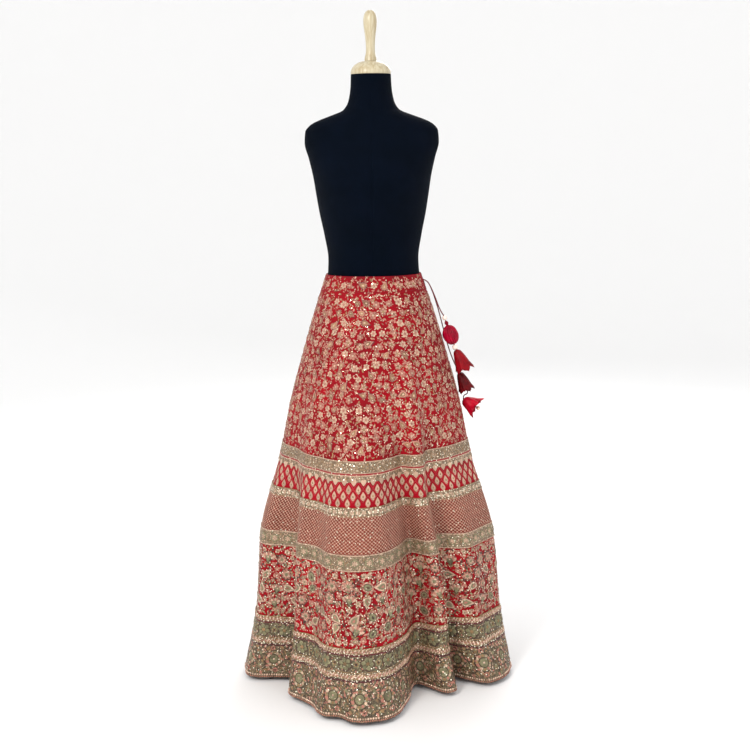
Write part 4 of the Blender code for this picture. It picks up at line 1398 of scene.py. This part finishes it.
def lattice():
    """The fine net of rose-gold thread, with a bright bead where its lines cross."""
    work = Embroidery()
    top, bottom = MIDDLE_BAND[1], LOWER_BAND[0]
    middle, step = (top + bottom) / 2, (top - bottom) / LATTICE_ROWS
    count = round(CLOTH.girth_at(middle) / LATTICE_PITCH)
    strand = Motif().line([(0, 0), (0, -1)], 1.0, 0.0006, "rose")
    node = Motif().patch(oval(0.0034, sides=6), 0.0007, "cream", base=0.0008)
    section = ((STRAND_HALF_WIDTH, 0.0), (0.0, 0.0007), (-STRAND_HALF_WIDTH, 0.0))
    for row in range(LATTICE_ROWS):
        z, shift = top - row * step, 0.5 * (row % 2)
        start = np.mod((np.arange(count) + shift) / count, 1.0)
        for sign in (-1, 1):
            points = [
                CLOTH.at(np.full(count, level), share, offset, 0.0, np.full(count, lift + LOWEST_LIFT))
                for level, share in ((z, start), (z - step, start + sign * 0.5 / count))
                for offset, lift in section
            ]
            work.keep(np.stack(points, axis=1).reshape(-1, 3), strand)
        work.row(node, z, LATTICE_PITCH, shift, middle)
    work.sprinkle(top, bottom, 0.017, 0.0026)
    work.made("embroidery_lattice")


def florals():
    """The deep floral stripe: fans, medallions, mangoes and round flowers in a dense bed of leaves."""
    work = Embroidery()
    top, bottom = LOWER_BAND[1] - 0.003, BORDER[0] + 0.006
    large = work.scattered(top - 0.018, bottom + 0.017, LARGE_FLOWER_PITCH, 0.16)
    work.strew([
        carnation(0.036), medallion(0.027, 0.033),
        paisley(0.027, 0.036, "maroon", "cream", "green_gold", "rose"),
        blossom(0.0150, 8, "rose", "green_gold", "brown", "cream"),
    ], large, (25.0, 60.0, 180.0, 180.0), 0.88, 1.12)
    middling = work.scattered(top - 0.004, bottom + 0.004, SMALL_FLOWER_PITCH, 0.3)
    middling = work.clear(middling, [(large, 0.0235)])
    work.strew([
        blossom(0.0084, 5, "rose", "cream"), blossom(0.0080, 6, "cream", "green_gold"),
        paisley(0.013, 0.019, "brown", "rose", "green_gold", "cream"),
    ], middling)
    leaves = tiny_leaves(0.0092, "rose", "gold", "brown", "cream", "rose", "green_gold", "brown", "rose")
    others = [(large, 0.0152), (middling, 0.0082)]
    work.leafed(top + 0.0015, bottom - 0.003, FLORAL_LEAF_PITCH, leaves, others, (0.0235, 0.0066))
    work.sprinkle(top, bottom, 0.0120, 0.0032)
    work.made("embroidery_florals")


def edged(work, levels_z, width, height, kind):
    for z in levels_z:
        work.ring(z, width, height, kind)


def upper_band(work):
    """Two stripes of leaf stitches either side of a red line, and points that hang over the band's edge."""
    top, bottom = UPPER_BAND
    for high, low, kinds in (
        (top - 0.004, RED_LINE_Z + 0.004, ("gold", "cream", "gold")),
        (RED_LINE_Z - 0.004, bottom + 0.003, ("cream", "gold", "cream")),
    ):
        work.strew(tiny_leaves(0.0060, *kinds), work.scattered(high, low, BAND_LEAF_PITCH, 0.3))
    work.ring(RED_LINE_Z, 0.0036, 0.0009, "red")
    edged(work, (top - 0.0012, RED_LINE_Z + 0.0030, RED_LINE_Z - 0.0030), 0.0020, 0.0008, "cream")
    middle = (bottom + MIDDLE_BAND[0]) / 2
    work.row(point(0.0160, 0.0170, 0.0009, "cream", 20, rings=2), bottom - 0.0010, BOOTI_PITCH, 0.5, middle)
    work.sprinkle(top, bottom, 0.0105, 0.0030)


def middle_band(work):
    """A row of florets and leaves, with small rose points along the lower edge."""
    top, bottom = MIDDLE_BAND
    middle = (top + bottom) / 2
    work.row(blossom(0.0066, 6, "cream", "bead"), middle, FLORET_PITCH)
    work.row(tiny_leaves(0.0090, "green_gold")[0], middle - 0.0045, FLORET_PITCH, 0.5, middle)
    edged(work, (top - 0.0014, bottom + 0.0014), 0.0022, 0.0009, "gold")
    work.row(point(0.0060, 0.0062, 0.0008, "rose", points=8), bottom + 0.0006, 0.0090)
    work.sprinkle(top, bottom, 0.0072, 0.0034)


def lower_band(work):
    """Round flowers in leaf stitches, between two beaded lines."""
    top, bottom = LOWER_BAND
    leaves = tiny_leaves(0.0066, "green_gold", "cream", "gold", "green_gold")
    work.strew(leaves, work.scattered(top - 0.005, bottom + 0.005, LOWER_LEAF_PITCH, 0.3))
    work.row(blossom(0.0125, 6, "green_gold", "cream", None, "cream"), (top + bottom) / 2, LARGE_FLORET_PITCH)
    for z in (top - 0.0014, bottom + 0.0014):
        work.ring(z, 0.0022, 0.0009, "cream")
        work.row(bead_drop(0.0042, 0.0014), z, LINE_BEAD_PITCH)
    work.sprinkle(top, bottom, 0.015, 0.0028)


def zari_bands():
    work = Embroidery(lift=ON_BANDS)
    upper_band(work)
    middle_band(work)
    lower_band(work)
    work.made("embroidery_bands")


def border_flowers():
    """What is sewn on the hem border: a stripe of round flowers above a stripe of roundels and scrolls."""
    work = Embroidery(lift=ON_BANDS)
    top, bottom = FLOWER_STRIPE
    middle = (top + bottom) / 2
    flower = blossom(0.0180, 6, "green_gold", "gold", "brown", "green_gold")
    flowers = work.row(flower, middle, FLOWER_PITCH, turn=15.0)
    between = work.row(blossom(0.0110, 5, "green_gold", "brown", None, "gold"), middle, FLOWER_PITCH, 0.5)
    leaves = tiny_leaves(0.0070, "green_gold", "gold", "green_gold", "brown", "gold", "rose")
    taken = [(flowers, 0.0185), (between, 0.0115)]
    work.leafed(top - 0.002, bottom + 0.002, BORDER_LEAF_PITCH, leaves, taken)
    top, bottom = ROUNDEL_STRIPE
    middle = (top + bottom) / 2
    wheels = work.row(roundel(0.0235), middle, ROUNDEL_PITCH)
    sprays = work.row(scroll(0.066), middle, ROUNDEL_PITCH, 0.5)
    for side in (-WHEEL_SIDE, WHEEL_SIDE):
        work.row(blossom(0.0080, 6, "rose", "brown"), middle + side, ROUNDEL_PITCH, like=middle)
    leaves = tiny_leaves(0.0074, "gold", "rose", "green_gold", "gold", "brown", "cream")
    work.leafed(top - 0.002, bottom + 0.002, BORDER_LEAF_PITCH, leaves, [(wheels, 0.0235), (sprays, 0.013)])
    work.sprinkle(FLOWER_STRIPE[0], bottom, 0.0125, 0.0030)
    work.made("embroidery_border")


def border_ropes():
    """The twisted rows of beads that edge the stripes of the border, and the beads along the hem."""
    work = Embroidery(lift=ON_BANDS)
    for top, bottom in ROPE_LEVELS:
        middle = (top + bottom) / 2 + 0.0010
        for row, shift in enumerate((0.0, 0.34, 0.67)):
            for kind, start in (("rose" if row % 2 else "gold", 0.0), ("bead", 0.5)):
                grain = Motif().patch(turned(oval(0.0040, 0.0068, 6), -38), 0.0020, kind, 20)
                z = middle + ROPE_ROW_STEP * (1 - row)
                work.row(grain, z, ROPE_BEAD_PITCH, shift + start, swing=14, size=(0.8, 1.15))
        work.ring(top - 0.0010, 0.0020, 0.0008, "gold")
        work.ring(bottom + 0.0012, 0.0042, 0.0012, "maroon", waves=300, swing=0.0011)
        work.sprinkle(top, bottom, 0.0080, 0.0030)
    for z, pitch, size, height, kind in HEM_BEADS:
        work.row(bead_drop(size, height, kind), z, pitch, size=(0.8, 1.1))
    work.made("embroidery_ropes")


def waistband_stitches():
    """A row of running stitch along each edge of the waistband, clear of its slit."""
    work = Embroidery(CASING, CASING_PROUD)
    stitch = Motif().patch(oval(0.0030, 0.0009, 6), 0.0004, "maroon")
    for z in (WAIST_Z - 0.003, CASING_LOW_Z + 0.004):
        count = round(CASING.girth_at(z) / STITCH_PITCH)
        share = np.arange(count) / count
        share = share[np.abs(share - SLIT_SHARE) * CASING.girth[0] > SLIT_HALF + 0.004]
        work.add(stitch, z, share)
    work.made("waistband_stitches", "maroon_silk")


# ---------------------------------------------------------------- the dress form

# Height, half width, half depth in front and behind
TORSO_SECTIONS = [
    (1.6115, 0.0515, 0.0515, 0.0515), (1.580, 0.053, 0.052, 0.052), (1.545, 0.059, 0.054, 0.056),
    (1.522, 0.073, 0.057, 0.062), (1.509, 0.104, 0.061, 0.069), (1.498, 0.134, 0.065, 0.075),
    (1.486, 0.158, 0.070, 0.081), (1.468, 0.172, 0.078, 0.088), (1.440, 0.174, 0.090, 0.097),
    (1.400, 0.164, 0.108, 0.104), (1.350, 0.153, 0.127, 0.106), (1.310, 0.147, 0.130, 0.104),
    (1.260, 0.139, 0.118, 0.100), (1.200, 0.127, 0.100, 0.094), (1.140, 0.1185, 0.090, 0.089),
    (1.100, 0.1205, 0.0885, 0.0915), (1.040, 0.135, 0.096, 0.103), (0.980, 0.154, 0.106, 0.114),
    (0.910, 0.167, 0.114, 0.121), (0.860, 0.163, 0.113, 0.117), (0.825, 0.146, 0.102, 0.104),
    (0.808, 0.122, 0.086, 0.088), (0.800, 0.088, 0.062, 0.064),
]
TORSO_SEAMS = (0.0, 90.0, 180.0, 270.0)
SEAM_DEPTH = 0.0009
SEAM_HALF_WIDTH = 0.5          # in degrees
TORSO_ROWS, TORSO_STEP = 130, 3.0
TORSO_RADIUS = 0.13            # about how far out the jersey lies
TURNED_SIDES = 72
CAP_PROFILE = [
    (0.0, 1.645), (0.017, 1.645), (0.028, 1.6425), (0.040, 1.6365), (0.048, 1.628), (0.0515, 1.620),
    (0.0520, 1.615), (0.0512, 1.6118),
]
FINIAL_PROFILE = [
    (0.0, 1.772), (0.007, 1.7705), (0.0128, 1.765), (0.0165, 1.755), (0.0175, 1.743), (0.0164, 1.728),
    (0.0140, 1.711), (0.0122, 1.692), (0.0118, 1.673), (0.0128, 1.662), (0.0150, 1.654), (0.0160, 1.6453),
]


def jersey():
    """Navy jersey, drawn tight over the form."""
    look = Look("navy_jersey", rgb(3, 9, 20), 0.85, Sheen_Weight=0.01, Specular_IOR_Level=0.04)
    relief = [(look.bands(pitch, way, 0.5), 0.0002, 0.6) for pitch, way in ((0.0011, "Y"), (0.0009, "X"))]
    tone = look.mix(look.noise(14.0), rgb(1, 6, 14), rgb(4, 12, 26))
    return look.finished(tone, look.stretch(look.noise(300.0), 0.76, 0.95), *relief)


def pale_wood():
    """Pale lacquered wood with its grain running up the piece."""
    look = Look("pale_wood", rgb(200, 190, 160), 0.35, Coat_Weight=0.15, Coat_Roughness=0.2)
    stretched = look.add("Mapping", Vector=look.place(), Scale=(1.0, 1.0, 0.07)).outputs["Vector"]
    grain = look.noise(160.0, 5.0, 0.6, stretched)
    tone = look.ramp(grain, (0.32, rgb(174, 155, 118)), (0.60, rgb(202, 192, 163)))
    return look.finished(tone, look.stretch(grain, 0.45, 0.28), (grain, 0.0003, 0.3))


def black_steel():
    look = Look("black_steel", rgb(30, 30, 32), 0.42, 0.6)
    grain = look.noise(900.0, 2.0)
    tone = look.mix(look.noise(30.0), rgb(24, 24, 26), rgb(42, 42, 44))
    return look.finished(tone, look.stretch(grain, 0.34, 0.55), (grain, 0.0002, 0.5))


def from_seam(degrees):
    """How far these directions are from the torso's nearest seam, in degrees."""
    return np.min([np.abs((degrees - seam + 180) % 360 - 180) for seam in TORSO_SEAMS], axis=0)


def torso(material):
    """The covered torso, with a seam down its front, back and sides."""
    table = np.array(TORSO_SECTIONS)[::-1]
    even = np.linspace(table[0, 0], table[-1, 0], TORSO_ROWS)
    heights = np.unique(np.concatenate([even, table[:, 0]]))[::-1]
    half_width, front, back = (part[:, None] for part in steady(table[:, 0], table[:, 1:], heights).T)
    near = [seam + shift for seam in TORSO_SEAMS for shift in (-1.4, -0.6, 0.0, 0.6, 1.4)]
    spread = [a for a in np.arange(0, 360, TORSO_STEP) if from_seam(a) > 2]
    degrees = np.sort(np.mod(near + spread, 360.0))
    angle = np.radians(degrees)
    depth = np.where(np.sin(angle) < 0, front, back)
    shrink = 1 - SEAM_DEPTH / 0.12 * np.exp(-(from_seam(degrees) / SEAM_HALF_WIDTH) ** 2)
    rings = np.stack([
        half_width * np.cos(angle) * shrink, depth * np.sin(angle) * shrink,
        np.broadcast_to(heights[:, None], depth.shape),
    ], axis=-1)
    obj = ringed("torso_cover", rings, heights[[0, -1]], angle * TORSO_RADIUS, material, sharp=50)
    on_part(obj, "navy_cotton", "form_torso")


def dress_form():
    torso(jersey())
    wood = pale_wood()
    for node, profile in (("form_neck_cap", CAP_PROFILE), ("form_finial", FINIAL_PROFILE)):
        outline = np.vstack([smooth_line(profile, 5), [(0.0, profile[-1][1])]])
        on_part(turned_piece(node + "_turned", outline, TURNED_SIDES, wood), "pale_wood", node)
    steel = black_steel()
    for node in ("form_pole", "form_base"):
        for slot in bpy.data.objects[node].material_slots:
            slot.material = steel


for step in (
    camera, drawstring, floor, light, panels, bands, waistband, jaal, waistband_jaal, sprig_band, lattice,
    florals, zari_bands, border_flowers, border_ropes, waistband_stitches, dress_form,
):
    step()
